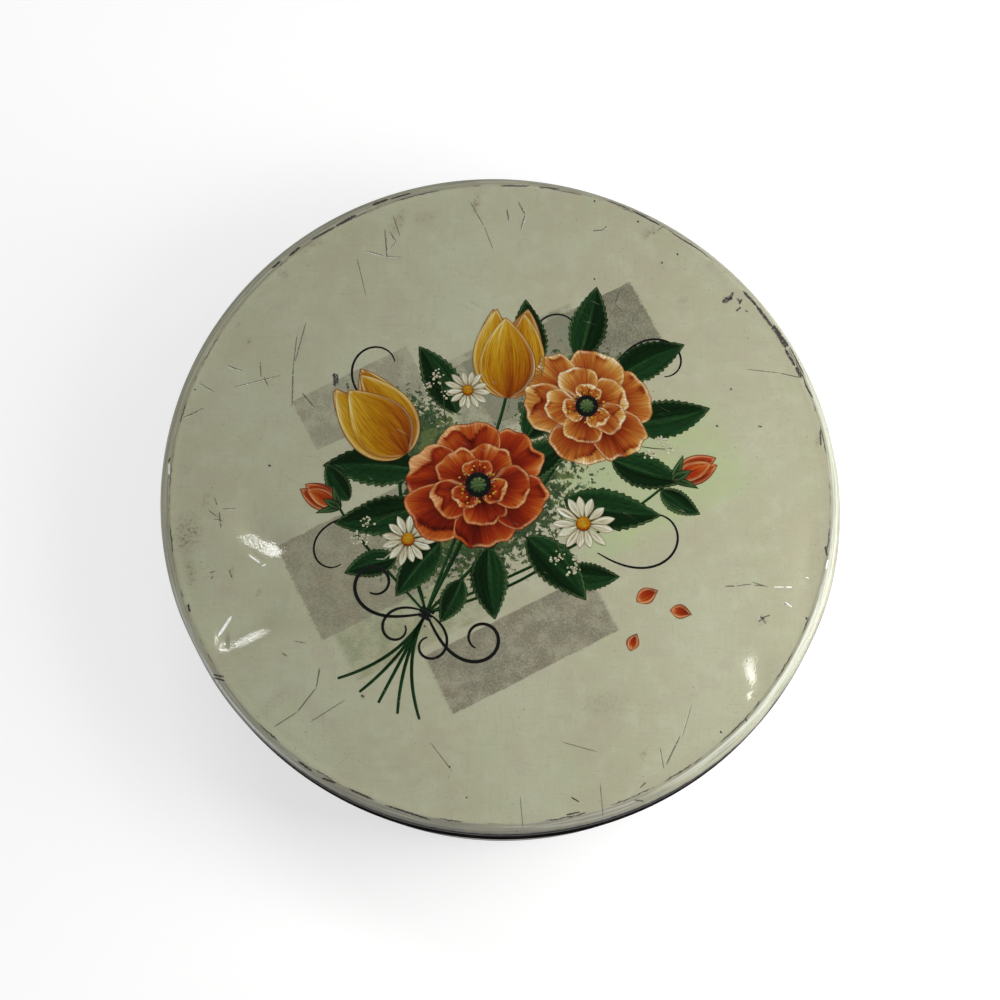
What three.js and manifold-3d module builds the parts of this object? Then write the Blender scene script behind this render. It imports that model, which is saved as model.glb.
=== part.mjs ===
// A round keepsake tin with a slip lid, made of three sheets of tinplate: lid, body wall and base.
// Millimetres, +Z up. The tin stands on its base seam at z = 0, and the origin is under its middle.
import * as THREE from "three";
import { mergeVertices } from "three/addons/utils/BufferGeometryUtils.js";
import Module from "manifold-3d";

// Driving dimensions of the whole tin
const lidDiameter = 254;
const overallHeight = 60;
const tinplateThickness = 0.28;

// The lid's shoulder, skirt and the curl that hides the skirt's raw edge
const lidShoulderRadius = 4;
const lidSkirtHeight = 21;
const lidCurlDiameter = 2;
const lidCurlTurn = 290;

// How loosely the lid slips over the body's bead, and how it sits on it
const lidSlipClearance = 0.3;
const lidSeatGap = 0.3;

// The bead at the body's mouth
const bodyBeadDiameter = 2;
const bodyBeadTurn = 290;

// The upright lock seam at the back of the body, folded inwards
const lockSeamWidth = 5;
const lockSeamFoldDepth = 0.5;
const lockSeamEndGap = 0.8;

// The double seam that joins the base to the body
const seamHeight = 3.4;
const seamFoldGap = 0.1;
const seamCornerRadius = 0.4;
const seamHookLength = 1.5;
const basePanelDepth = 3.8;
const basePanelBendRadius = 1;

// How finely the round shapes are faceted
const turnSegments = 60;
const curlStep = 30;
const foldStep = 45;
const shoulderStep = 18;
const lockSeamArcSteps = 2;

// Sizes that follow from those above
const halfSheet = tinplateThickness / 2;
const lidRadius = lidDiameter / 2;
const lidCurlRadius = lidCurlDiameter / 2;
const lidRimHeight = overallHeight - lidSkirtHeight;
const beadRadius = bodyBeadDiameter / 2;
const beadCentre = lidRadius - lidCurlDiameter - lidSlipClearance - beadRadius;
const foldPitch = tinplateThickness + seamFoldGap;

// Middle radii of the five layers of the double seam, from the inside out
const bodyWallMiddle = beadCentre - beadRadius + halfSheet;
const chuckWallMiddle = bodyWallMiddle - foldPitch;
const coverHookMiddle = bodyWallMiddle + foldPitch;
const bodyHookMiddle = coverHookMiddle + foldPitch;
const seamWallMiddle = bodyHookMiddle + foldPitch;

// Enamels and bare metal
const creamEnamel = { color: 0xaaa78c, roughness: 0.35, metalness: 0 };
const blackEnamel = { color: 0x1a1716, roughness: 0.4, metalness: 0 };
const bareTinplate = { color: 0xb4b3ad, roughness: 0.35, metalness: 1 };

const radians = THREE.MathUtils.degToRad;

// Points of a round bend in a sheet's section, as (radius, height), at steps no wider than the given one.
function bend(centreRadius, centreHeight, bendRadius, fromAngle, toAngle, step) {
  const steps = Math.ceil(Math.abs(toAngle - fromAngle) / step);
  return Array.from({ length: steps + 1 }, (_, i) => {
    const angle = radians(fromAngle + ((toAngle - fromAngle) * i) / steps);
    return new THREE.Vector2(
      centreRadius + bendRadius * Math.cos(angle),
      centreHeight + bendRadius * Math.sin(angle),
    );
  });
}

// The closed outline of a sheet, from the middle line of its section: each point moves half a sheet to
// either side along the corner's bisector, and a line that starts on the axis leaves its outline open there.
function sheetOutline(middleLine) {
  const sides = [1, -1].map((side) =>
    middleLine.map((point, i) => {
      const before = middleLine[Math.max(i - 1, 0)];
      const after = middleLine[Math.min(i + 1, middleLine.length - 1)];
      const arriving = (i > 0 ? point.clone().sub(before) : after.clone().sub(point)).normalize();
      const leaving = (after !== point ? after.clone().sub(point) : arriving.clone()).normalize();
      const along = arriving.clone().add(leaving).normalize();
      const reach = (side * halfSheet) / along.dot(arriving);
      return new THREE.Vector2(point.x - along.y * reach, point.y + along.x * reach);
    }),
  );
  const outline = [...sides[0], ...sides[1].reverse()];
  if (THREE.ShapeUtils.area(outline) < 0) outline.reverse();
  if (middleLine[0].x === 0) {
    const onAxis = outline.findIndex((point, i) => point.x === 0 && outline.at(i - 1).x === 0);
    return [...outline.slice(onAxis), ...outline.slice(0, onAxis)];
  }
  return [...outline, outline[0].clone()];
}

// A sheet turned round the upright axis of the tin.
function turnedSheet(middleLine) {
  return new THREE.LatheGeometry(sheetOutline(middleLine), turnSegments).rotateX(radians(90));
}

// The lid's section: panel, shoulder, skirt and inward curl.
function lidGeometry() {
  return turnedSheet([
    new THREE.Vector2(0, overallHeight - halfSheet),
    ...bend(
      lidRadius - lidShoulderRadius,
      overallHeight - lidShoulderRadius,
      lidShoulderRadius - halfSheet,
      90,
      0,
      shoulderStep,
    ),
    ...bend(
      lidRadius - lidCurlRadius,
      lidRimHeight + lidCurlRadius,
      lidCurlRadius - halfSheet,
      0,
      -lidCurlTurn,
      curlStep,
    ),
  ]);
}

// The height at which the bead lies a seat's gap below the lid's panel, or below its shoulder where the
// bead reaches out under the bend.
function beadHeight() {
  const hollowRadius = lidShoulderRadius - tinplateThickness - lidSeatGap - beadRadius;
  const reachOut = Math.max(beadCentre - (lidRadius - lidShoulderRadius), 0);
  const rise = Math.sqrt(Math.max(hollowRadius ** 2 - reachOut ** 2, 0));
  return overallHeight - lidShoulderRadius + rise;
}

// The body's section: hook at the foot, wall and outward bead at the mouth.
function bodyWallSheet() {
  const hookBend = (bodyHookMiddle - bodyWallMiddle) / 2;
  const hookBendHeight = tinplateThickness + seamFoldGap + halfSheet + hookBend;
  return turnedSheet([
    new THREE.Vector2(bodyHookMiddle, hookBendHeight + seamHookLength),
    ...bend((bodyHookMiddle + bodyWallMiddle) / 2, hookBendHeight, hookBend, 0, -180, foldStep),
    ...bend(beadCentre, beadHeight(), beadRadius - halfSheet, 180, 180 - bodyBeadTurn, curlStep),
  ]);
}

// The lock seam: a folded strip on the inside of the wall, from above the base to under the bead.
function lockSeamStrip() {
  const inner = bodyWallMiddle - halfSheet - lockSeamFoldDepth;
  const halfAngle = lockSeamWidth / 2 / bodyWallMiddle;
  const back = radians(90);
  const foot = seamHeight + basePanelDepth + lockSeamEndGap;
  const section = new THREE.Shape()
    .absarc(0, 0, bodyWallMiddle, back - halfAngle, back + halfAngle, false)
    .absarc(0, 0, inner, back + halfAngle, back - halfAngle, true);
  return new THREE.ExtrudeGeometry(section, {
    depth: beadHeight() - lockSeamEndGap - foot,
    bevelEnabled: false,
    curveSegments: lockSeamArcSteps,
  }).translate(0, 0, foot);
}

// The base's section: raised panel, chuck wall, the flat that the tin stands on, seam wall and cover hook.
function baseGeometry() {
  const cornerHeight = halfSheet + seamCornerRadius;
  const topBend = (seamWallMiddle - coverHookMiddle) / 2;
  const topBendHeight = seamHeight - halfSheet - topBend;
  return turnedSheet([
    new THREE.Vector2(0, basePanelDepth + halfSheet),
    ...bend(
      chuckWallMiddle - basePanelBendRadius,
      basePanelDepth + halfSheet - basePanelBendRadius,
      basePanelBendRadius,
      90,
      0,
      foldStep,
    ),
    ...bend(chuckWallMiddle + seamCornerRadius, cornerHeight, seamCornerRadius, 180, 270, foldStep),
    ...bend(seamWallMiddle - seamCornerRadius, cornerHeight, seamCornerRadius, 270, 360, foldStep),
    ...bend((seamWallMiddle + coverHookMiddle) / 2, topBendHeight, topBend, 0, 180, foldStep),
    new THREE.Vector2(coverHookMiddle, topBendHeight - seamHookLength),
  ]);
}

const wasm = await Module();
wasm.setup();

// A closed geometry as a solid that can be joined to others.
function solidFrom(geometry) {
  const bare = geometry.clone().deleteAttribute("normal").deleteAttribute("uv");
  const merged = mergeVertices(bare);
  return new wasm.Manifold(
    new wasm.Mesh({
      numProp: 3,
      vertProperties: merged.attributes.position.array,
      triVerts: new Uint32Array(merged.index.array),
    }),
  );
}

// A joined solid as a geometry again.
function geometryFrom(solid) {
  const mesh = solid.getMesh();
  return new THREE.BufferGeometry()
    .setAttribute("position", new THREE.BufferAttribute(mesh.vertProperties, 3))
    .setIndex(new THREE.BufferAttribute(mesh.triVerts, 1));
}

// The body wall with its lock seam folded into it.
function bodyWallGeometry() {
  return geometryFrom(solidFrom(bodyWallSheet()).add(solidFrom(lockSeamStrip())));
}

// A named piece of the tin in its own finish.
function piece(name, geometry, finish) {
  const mesh = new THREE.Mesh(geometry, new THREE.MeshStandardMaterial(finish));
  mesh.name = name;
  return mesh;
}

const tin = new THREE.Group();
tin.add(
  piece("lid_shell", lidGeometry(), creamEnamel),
  piece("body_wall", bodyWallGeometry(), blackEnamel),
  piece("base_disc", baseGeometry(), bareTinplate),
);

export default tin;
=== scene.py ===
# %% [markdown]
# # A round keepsake tin with flowers printed on its lid
# The tin is three sheets of tinplate: a slip lid, a body wall and a base. Its sizes are fixed in a measured
# frame, so this script starts by loading that frame and never moves it. Each sheet is then made again as a
# fine surface around the frame's own sizes, and gets the enamel, print and wear that make it look used.

# %% Load the measured frame
from math import comb

import bpy
import numpy as np
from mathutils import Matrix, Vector


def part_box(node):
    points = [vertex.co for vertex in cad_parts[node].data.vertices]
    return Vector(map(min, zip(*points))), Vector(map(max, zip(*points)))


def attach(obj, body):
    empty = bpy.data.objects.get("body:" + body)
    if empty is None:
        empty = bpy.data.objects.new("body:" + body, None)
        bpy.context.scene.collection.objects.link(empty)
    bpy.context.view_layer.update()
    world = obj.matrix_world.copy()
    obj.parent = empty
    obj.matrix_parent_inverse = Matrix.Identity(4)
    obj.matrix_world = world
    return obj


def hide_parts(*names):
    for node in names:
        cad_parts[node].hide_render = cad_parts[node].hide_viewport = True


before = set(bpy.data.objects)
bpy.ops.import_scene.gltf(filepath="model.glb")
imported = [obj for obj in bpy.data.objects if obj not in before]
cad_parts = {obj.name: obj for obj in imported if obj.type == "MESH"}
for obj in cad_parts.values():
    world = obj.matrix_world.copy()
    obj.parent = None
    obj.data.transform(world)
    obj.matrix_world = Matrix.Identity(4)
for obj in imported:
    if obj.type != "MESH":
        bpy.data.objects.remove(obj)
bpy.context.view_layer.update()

# %% [markdown]
# The frame is in metres, and the sheets are thin, so sizes are easier to read in millimetres. The outer sizes
# come from the frame's boxes. The few sizes that no box shows, such as the gauge of the tinplate and the
# radius of the lid's shoulder, are the ones that the tin's maker would set on the press.

# %% Read the driving sizes
mm = 0.001

lid_low, lid_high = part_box("lid_shell")
_, body_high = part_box("body_wall")
_, base_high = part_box("base_disc")

lid_radius = lid_high.x
lid_top = lid_high.z
lid_rim = lid_low.z
body_top = body_high.z
base_panel_top = base_high.z
seam_wall_radius = base_high.x

tinplate = 0.28 * mm
shoulder_radius = 4 * mm
curl_radius = 1 * mm
curl_turn = 290
bead_radius = 1 * mm
bead_turn = 290

print("lid across", round(2 * lid_radius / mm, 2), "mm, tin tall", round(lid_top / mm, 2), "mm")

# %% [markdown]
# The photograph looks down on the lid from a little in front of it. A camera is three choices: where it
# stands, what it looks at and how long its lens is. Seen from nearby the far side of the lid looks smaller
# than the near side, so the distance was found from the outline, and the lens then follows from the lid's
# size in the picture. A small shift puts the lid's middle where it is in the picture.

# %% Place the camera
photo_size = 1000
lid_middle_in_photo = (499.7, 490.0)
camera_tilt = np.radians(15.25)
camera_distance = 712 * mm
lens_length = 68.8
sensor_width = 36

lid_middle = np.array([0, 0, lid_top])
camera_right = np.array([1, 0, 0])
camera_up = np.array([0, np.cos(camera_tilt), np.sin(camera_tilt)])
camera_back = np.array([0, -np.sin(camera_tilt), np.cos(camera_tilt)])
camera_place = lid_middle + camera_distance * camera_back

camera_data = bpy.data.cameras.new("photo_camera")
camera_data.lens = lens_length
camera_data.sensor_width = sensor_width
camera_data.shift_x = 0.5 - lid_middle_in_photo[0] / photo_size
camera_data.shift_y = lid_middle_in_photo[1] / photo_size - 0.5
camera = bpy.data.objects.new("photo_camera", camera_data)
camera.location = camera_place
camera.rotation_euler = Vector(camera_back).to_track_quat("Z", "Y").to_euler()
bpy.context.scene.collection.objects.link(camera)
bpy.context.scene.camera = camera


def from_photo(across, down):
    """The point of the lid's plane, in mm, under a pixel of the photograph: the pixel's ray runs from the
    camera until its height is the lid's."""
    pixels_per_slope = photo_size * lens_length / sensor_width
    slope_right = (across - lid_middle_in_photo[0]) / pixels_per_slope
    slope_up = (lid_middle_in_photo[1] - down) / pixels_per_slope
    ray = slope_right * camera_right + slope_up * camera_up - camera_back
    reach = (lid_top - camera_place[2]) / ray[2]
    return (camera_place + reach * ray)[:2] / mm


print("camera stands at", np.round(camera_place / mm, 1), "mm")

# %% [markdown]
# Each sheet of the tin is a section turned round the upright axis, as a lathe turns wood. The section starts
# as its middle line: straight runs and round bends, in radius and height. Two lines half a sheet to either
# side of it close into the sheet's outline, as thick as real tinplate, so the edges look right from anywhere.

# %% Draw the section of a sheet


def bend(centre, radius, start, stop, steps):
    """Points on an arc, as (radius, height): the centre plus the bend's radius times (cos a, sin a), with the
    angle a running evenly from start to stop, in degrees."""
    angle = np.radians(np.linspace(start, stop, steps + 1))
    return np.column_stack([centre[0] + radius * np.cos(angle), centre[1] + radius * np.sin(angle)])


def straight(start, stop, steps):
    """Points at even steps between two ends, without the ends."""
    share = np.linspace(0, 1, steps + 1)[1:-1, None]
    return (1 - share) * np.array(start) + share * np.array(stop)


def to_the_left(along):
    """Directions turned left by a right angle."""
    return np.column_stack([-along[:, 1], along[:, 0]])


def sheet_outline(middle):
    """The middle line moved half a sheet to its left, then back along its right. Each point moves along the
    corner's bisector, further where the line turns, so that the sheet keeps its thickness."""
    steps = np.diff(middle, axis=0)
    steps /= np.linalg.norm(steps, axis=1, keepdims=True)
    arriving = np.vstack([steps[:1], steps])
    leaving = np.vstack([steps, steps[-1:]])
    along = arriving + leaving
    along /= np.linalg.norm(along, axis=1, keepdims=True)
    reach = tinplate / 2 / (along * arriving).sum(axis=1, keepdims=True) * to_the_left(along)
    return np.vstack([middle + reach, (middle - reach)[::-1]])


crease_radius = lid_radius - shoulder_radius
panel_line = lid_top - tinplate / 2
skirt_line = lid_radius - tinplate / 2
fine_from, finest_from = 0.6 * lid_radius, 0.955 * lid_radius
lid_middle_line = np.vstack([
    [[0, panel_line]],
    straight((0, panel_line), (fine_from, panel_line), 22),
    straight((fine_from, panel_line), (finest_from, panel_line), 44),
    straight((finest_from, panel_line), (crease_radius, panel_line), 9),
    bend((crease_radius, lid_top - shoulder_radius), shoulder_radius - tinplate / 2, 90, 0, 12),
    straight((skirt_line, lid_top - shoulder_radius), (skirt_line, lid_rim + curl_radius), 7),
    bend((lid_radius - curl_radius, lid_rim + curl_radius), curl_radius - tinplate / 2, 0, -curl_turn, 18),
])
lid_outline = sheet_outline(lid_middle_line)
print("lid section has", len(lid_outline), "points")

# %% [markdown]
# A drawn and handled tin is never quite round, and its flat panel is never quite flat. The same gentle oval
# is pressed into all three sheets, so that they still fit each other. The panel lies a little below the
# rounded rim, with a crisp crease between them, has slow waves, and carries the dents that the photograph
# shows by their glare. A dent is a bell curve across, steeper on its near wall, and a flat-topped one along.

# %% Press the lid out of true
# Each wave round the rim: how many waves, how far out it pushes, and the direction of a crest
out_of_round = ((2, 0.95 * mm, -44), (3, 0.28 * mm, -16), (1, 0.16 * mm, -125))


def from_the_axis(points):
    """Each point's radius, and its angle round the axis."""
    return np.hypot(points[..., 0], points[..., 1]), np.arctan2(points[..., 1], points[..., 0])


def widened_by(points, share):
    """Points with their distance from the axis multiplied by a share each."""
    return points * np.stack([share, share, np.ones_like(share)], axis=-1)


def squeeze(points):
    """Moves points from the axis by the sum of amount times cos(waves times (angle - direction)), in the
    share that their radius is of the lid's."""
    radius, angle = from_the_axis(points)
    push = sum(amount * np.cos(waves * (angle - np.radians(way))) for waves, amount, way in out_of_round)
    return widened_by(points, 1 + push / lid_radius * np.clip(radius / lid_radius, 0, 1))


panel_drop = 0.14 * mm
drop_from, drop_to = 2.7 * mm, 0.3 * mm
waves_end = 0.94
# Each slow wave of the panel: length in mm, heading, height in mm and phase
panel_waves = ((61, 20, 0.07, 0.4), (47, 75, 0.05, 2.1), (83, 130, 0.09, 4.0), (38, 160, 0.03, 1.2))

# Each dent: place in the photograph, direction on the lid, half length, half width of its near and far walls
# and depth, in mm
dents = (
    ((258, 522), -31, 12, 7.0, 11.0, 0.62),
    ((260, 535), -31, 10.0, 4.6, 6.5, 1.12),
    ((246, 614), 22, 15, 8.0, 10.0, 0.64),
    ((246, 632), 27, 10.5, 3.5, 4.8, 0.82),
    ((762, 680), -64, 9.5, 3.6, 7.0, 0.95),
    ((812, 560), 80, 16, 7.0, 7.0, 0.40),
    ((300, 716), -35, 16, 6.0, 6.0, 0.35),
)


def smooth_rise(value, low, high):
    """0 below low, 1 above high, and 3s² - 2s³ of the share s between."""
    share = np.clip((value - low) / (high - low), 0, 1)
    return share * share * (3 - 2 * share)


def bell(distance, width):
    """A bell curve, exp(-(distance / width)²)."""
    return np.exp(-((distance / width) ** 2))


def lid_relief(across, back):
    """How far the panel lies above or below the rim at a place in metres: the drop at the crease, plus the
    waves, amount times sin(distance along a heading), less each dent, depth times exp(-(q/w)² - (p/l)⁴),
    where the width w is that of the near wall or the far one."""
    radius = np.hypot(across, back)
    height = -panel_drop * (1 - smooth_rise(radius, crease_radius - drop_from, crease_radius - drop_to))
    waviness = 0
    for length, heading, amount, phase in panel_waves:
        turn = np.radians(heading)
        along = (across * np.cos(turn) + back * np.sin(turn)) / mm
        waviness = waviness + amount * mm * np.sin(2 * np.pi * along / length + phase)
    for pixel, heading, half_length, near_width, far_width, depth in dents:
        turn = np.radians(heading)
        dent_across, dent_back = from_photo(*pixel)
        right, up = across / mm - dent_across, back / mm - dent_back
        along = right * np.cos(turn) + up * np.sin(turn)
        beside = up * np.cos(turn) - right * np.sin(turn)
        wall = np.where(beside < 0, near_width, far_width)
        waviness = waviness - depth * mm * np.exp(-(beside / wall) ** 2 - (along / half_length) ** 4)
    return height + waviness * (1 - smooth_rise(radius, waves_end * crease_radius, crease_radius))


# Each knock on the rim: angle, half width in degrees and depth
rim_knocks = ((-29, 7, 0.45 * mm), (9, 4, 0.15 * mm), (-38, 3.5, 0.4 * mm), (-152, 6, 0.4 * mm))
knock_foot = 5 * mm


def knocked_rim(points):
    """Pushes the shoulder in at each knock by depth times exp(-((angle - place) / half width)²), fading out
    down the skirt, so that the curl below still clears the body."""
    radius, angle = from_the_axis(points)
    fade = smooth_rise(points[..., 2], lid_rim + knock_foot, lid_top - shoulder_radius)
    fade = fade * smooth_rise(radius, 0.9 * crease_radius, lid_radius)
    angle = np.degrees(angle)
    push = sum(depth * bell(angle - place, width) for place, width, depth in rim_knocks)
    return widened_by(points, 1 - push * fade / np.maximum(radius, mm))


deepest = min(float(lid_relief(*(from_photo(*dent[0]) * mm))) for dent in dents)
print("deepest dent lies", round(-deepest / mm, 2), "mm under the rim")

# %% [markdown]
# Turning the section gives a grid of points: one row for each point of the outline, one column for each
# angle. Neighbouring rows and columns make four-sided faces. A row on the axis would be one point many times
# over, so it becomes a single pole with a fan of triangles, and the mesh is closed.

# %% Turn a section into a closed mesh
# Faces that meet at a wider turn than this, in degrees, show a sharp edge
sharp_turn = 50


def turned_points(outline, angles):
    """Point (i, j) is (r cos a, r sin a, z), with (r, z) the outline's point i and a the angle j."""
    radius, height = outline[:, :1], outline[:, 1:]
    return np.stack([radius * np.cos(angles), radius * np.sin(angles), height + 0 * angles], axis=-1)


def turned_faces(rows, columns, rows_close):
    """Four-sided faces between row i and i + 1 and column j and j + 1, with the columns closed on themselves
    and the rows too where rows_close is true."""
    row = np.arange(rows if rows_close else rows - 1)[:, None]
    column = np.arange(columns)[None, :]
    next_row, next_column = (row + 1) % rows, (column + 1) % columns
    corners = [row * columns + column, next_row * columns + column]
    corners += [next_row * columns + next_column, row * columns + next_column]
    return np.stack(corners, axis=-1).reshape(-1, 4)


def add_mesh(name, points, faces):
    """A mesh object at the origin, from points and a list of face arrays."""
    mesh = bpy.data.meshes.new(name)
    mesh.from_pydata(points.reshape(-1, 3).tolist(), [], [face for group in faces for face in group.tolist()])
    mesh.shade_smooth()
    made = bpy.data.objects.new(name, mesh)
    bpy.context.scene.collection.objects.link(made)
    return made


def turned_sheet(name, outline, angles, shape, paints):
    """A closed sheet. shape bends the grid of points, and paints gives each face its material's number from
    the row that it starts on."""
    on_axis = outline[0, 0] < mm / 100
    grid = shape(turned_points(outline, angles))
    columns = len(angles)
    if not on_axis:
        faces = [turned_faces(len(outline), columns, True)]
        points = grid.reshape(-1, 3)
    else:
        rings = grid[1:-1]
        points = np.vstack([rings.reshape(-1, 3), grid[0].mean(axis=0), grid[-1].mean(axis=0)])
        first_pole, last_pole = len(points) - 2, len(points) - 1
        last_ring = (len(rings) - 1) * columns + np.arange(columns)
        around = np.arange(columns)
        first_fan = np.column_stack([np.full(columns, first_pole), around, np.roll(around, -1)])
        last_fan = np.column_stack([last_ring, np.full(columns, last_pole), np.roll(last_ring, -1)])
        faces = [first_fan, turned_faces(len(rings), columns, False), last_fan]
    made = add_mesh(name, points, faces)
    row_paint = np.asarray(paints)
    face_paint = np.repeat(row_paint[: sum(len(group) for group in faces) // columns], columns)
    made.data.polygons.foreach_set("material_index", face_paint.astype(np.int32))
    made.data.set_sharp_from_angle(angle=np.radians(sharp_turn))
    return made


columns_round = 400
even_angles = np.linspace(0, 2 * np.pi, columns_round, endpoint=False)


def lid_shape(grid):
    """The lid's grid out of true: its panel gets the relief, its rim the knocks, and all of it the oval."""
    relief = lid_relief(grid[..., 0], grid[..., 1])
    on_panel = grid[..., 2] > lid_top - 1.5 * tinplate
    lifted = grid.copy()
    lifted[..., 2] += np.where(on_panel, relief, 0)
    return squeeze(knocked_rim(lifted))


outer_rows = len(lid_middle_line)
lid_rows = np.arange(len(lid_outline))
below_shoulder = lid_outline[:, 1] < lid_top - shoulder_radius - 0.3 * mm
lid_paints = np.where(lid_rows < outer_rows, np.where(below_shoulder, 2, 0), 1)
lid = turned_sheet("enamelled_lid", lid_outline, even_angles, lid_shape, lid_paints)
print("lid has", len(lid.data.polygons), "faces")

# %% [markdown]
# The body wall is a straight sheet with an outward bead at its mouth and an outward hook at its foot. Its
# two ends lock together in an upright seam at the back: inside it is a flat strip, five millimetres wide and
# two sheets thick, and outside only a fine groove shows. Extra columns of points near the seam keep it crisp.

# %% Make the body wall
seam_gap = 0.1 * mm
seam_height = 3.4 * mm
hook_length = 1.5 * mm
lock_seam_width = 5 * mm
lock_seam_depth = 0.5 * mm
lock_seam_foot = 8 * mm
lock_seam_head = 57.5 * mm
lock_groove_depth = 0.14 * mm
lock_groove_width = 0.25 * mm

bead_centre = (body_high.x - bead_radius, body_top - bead_radius)
wall_radius = bead_centre[0] - bead_radius + tinplate / 2
fold_pitch = tinplate + seam_gap
hook_bend = fold_pitch
hook_height = tinplate + seam_gap + tinplate / 2 + hook_bend
hook_radius = wall_radius + 2 * fold_pitch

body_middle_line = np.vstack([
    [[hook_radius, hook_height + hook_length]],
    bend((wall_radius + hook_bend, hook_height), hook_bend, 0, -180, 8),
    straight((wall_radius, hook_height), (wall_radius, lock_seam_foot - 0.2 * mm), 4),
    [[wall_radius, lock_seam_foot - 0.2 * mm], [wall_radius, lock_seam_foot + 0.2 * mm]],
    straight((wall_radius, lock_seam_foot + 0.2 * mm), (wall_radius, lock_seam_head - 0.3 * mm), 12),
    [[wall_radius, lock_seam_head - 0.3 * mm], [wall_radius, lock_seam_head]],
    bend(bead_centre, bead_radius - tinplate / 2, 180, 180 - bead_turn, 18),
])
body_outline = sheet_outline(body_middle_line)
inner_rows = len(body_middle_line)

seam_back = np.pi / 2
edge_offsets = np.array([-1, 1]) * lock_seam_width / 2
near_edges = (edge_offsets[:, None] + np.array([-0.15, 0.15]) * mm).ravel()
near_groove = np.array([-0.5, -0.25, 0, 0.25, 0.5]) * mm
seam_angles = seam_back + np.concatenate([near_edges, near_groove]) / wall_radius
body_angles = np.unique(np.concatenate([even_angles, seam_angles]))


def body_shape(grid):
    """The wall's grid with its lock seam: a raised strip inside, from foot to head and as wide as the fold,
    and a groove outside, with a bell curve as its section."""
    radius, angle = from_the_axis(grid)
    beside = np.abs((angle - seam_back) * wall_radius)
    rise = smooth_rise(grid[..., 2], lock_seam_foot - 0.15 * mm, lock_seam_foot + 0.15 * mm)
    fall = 1 - smooth_rise(grid[..., 2], lock_seam_head - 0.25 * mm, lock_seam_head - 0.05 * mm)
    half_width = lock_seam_width / 2
    strip = 1 - smooth_rise(beside, half_width - 0.1 * mm, half_width + 0.1 * mm)
    groove = bell(beside, lock_groove_width)
    inside = np.arange(len(grid))[:, None] < inner_rows
    push = np.where(inside, lock_seam_depth * strip * rise * fall, lock_groove_depth * groove * rise * fall)
    return squeeze(widened_by(grid, 1 - push / radius))


body_paints = np.where(np.arange(len(body_outline)) < inner_rows, 1, 0)
body = turned_sheet("black_body", body_outline, body_angles, body_shape, body_paints)
print("body wall has", len(body.data.polygons), "faces")

# %% [markdown]
# The base is a disc with a raised panel. Its edge turns down as the chuck wall, runs flat where the tin
# stands, and wraps up and over the wall's hook: the double seam that needs no solder. Two shallow rings
# pressed into the panel let it flex, and they catch the light when the tin is turned over.

# %% Make the base
chuck_radius = wall_radius - fold_pitch
cover_hook_radius = wall_radius + fold_pitch
seam_outer_radius = seam_wall_radius - tinplate / 2
seam_corner = 0.4 * mm
panel_bend = 1 * mm
panel_height = base_panel_top - tinplate / 2
top_bend = (seam_outer_radius - cover_hook_radius) / 2
top_bend_height = seam_height - tinplate / 2 - top_bend
# Each ring: its place as a share of the chuck wall's radius, half width and depth
stiffening_rings = ((0.86, 1.6 * mm, 0.45 * mm), (0.42, 1.6 * mm, 0.35 * mm))

base_middle_line = np.vstack([
    [[0, panel_height]],
    straight((0, panel_height), (chuck_radius - panel_bend, panel_height), 110),
    bend((chuck_radius - panel_bend, panel_height - panel_bend), panel_bend, 90, 0, 6),
    bend((chuck_radius + seam_corner, tinplate / 2 + seam_corner), seam_corner, 180, 270, 4),
    bend((seam_outer_radius - seam_corner, tinplate / 2 + seam_corner), seam_corner, 270, 360, 4),
    bend((seam_outer_radius - top_bend, top_bend_height), top_bend, 0, 180, 8),
    [[cover_hook_radius, top_bend_height - hook_length]],
])
base_outline = sheet_outline(base_middle_line)


def base_shape(grid):
    """The base's grid with its stiffening rings, each depth times exp(-((radius - place) / half width)²)
    downwards, and the tin's oval."""
    radius, _ = from_the_axis(grid)
    on_panel = (radius < chuck_radius - panel_bend) & (grid[..., 2] > panel_height - tinplate)
    share = radius / chuck_radius
    rings = sum(depth * bell(share - place, width / chuck_radius) for place, width, depth in stiffening_rings)
    pressed = grid.copy()
    pressed[..., 2] -= np.where(on_panel, rings, 0)
    return squeeze(pressed)


base_columns = 240
base_angles = np.linspace(0, 2 * np.pi, base_columns, endpoint=False)
base_rows = np.arange(len(base_outline))
on_seam_wall = (base_outline[:, 0] > seam_outer_radius) & (base_rows > len(base_middle_line))
base_paints = np.where(on_seam_wall, 1, 0)
base = turned_sheet("tinplate_base", base_outline, base_angles, base_shape, base_paints)
print("base has", len(base.data.polygons), "faces")

# %% [markdown]
# Materials are built from nodes. A few small helpers keep that readable: one fills a socket, one places a
# node, and others do a sum, turn a value into a soft-edged mask or lay colours over each other. They find the
# node tree from the outputs that they're given.

# %% Helpers that place shader nodes


def fill(socket, value):
    """Gives a socket its value: an output is linked to it, a plain value is set."""
    if isinstance(value, bpy.types.NodeSocket):
        socket.id_data.links.new(value, socket)
    else:
        socket.default_value = value


def place(tree, kind, sockets=(), **settings):
    """Adds a node with these settings. sockets pairs an input's name or number with a value or an output."""
    made = tree.nodes.new(kind)
    for setting, value in settings.items():
        setattr(made, setting, value)
    for socket, value in dict(sockets).items():
        fill(made.inputs[socket], value)
    return made


def place_for(values, kind, sockets=(), **settings):
    """Adds a node to the tree that the first output among the values belongs to."""
    tree = next(value.id_data for value in values if isinstance(value, bpy.types.NodeSocket))
    return place(tree, kind, sockets, **settings)


def reckon(operation, *values):
    """The result of one Math node on numbers or outputs."""
    return place_for(values, "ShaderNodeMath", enumerate(values), operation=operation).outputs[0]


def times(total, *others):
    """The product of several values."""
    for value in others:
        total = reckon("MULTIPLY", total, value)
    return total


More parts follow.
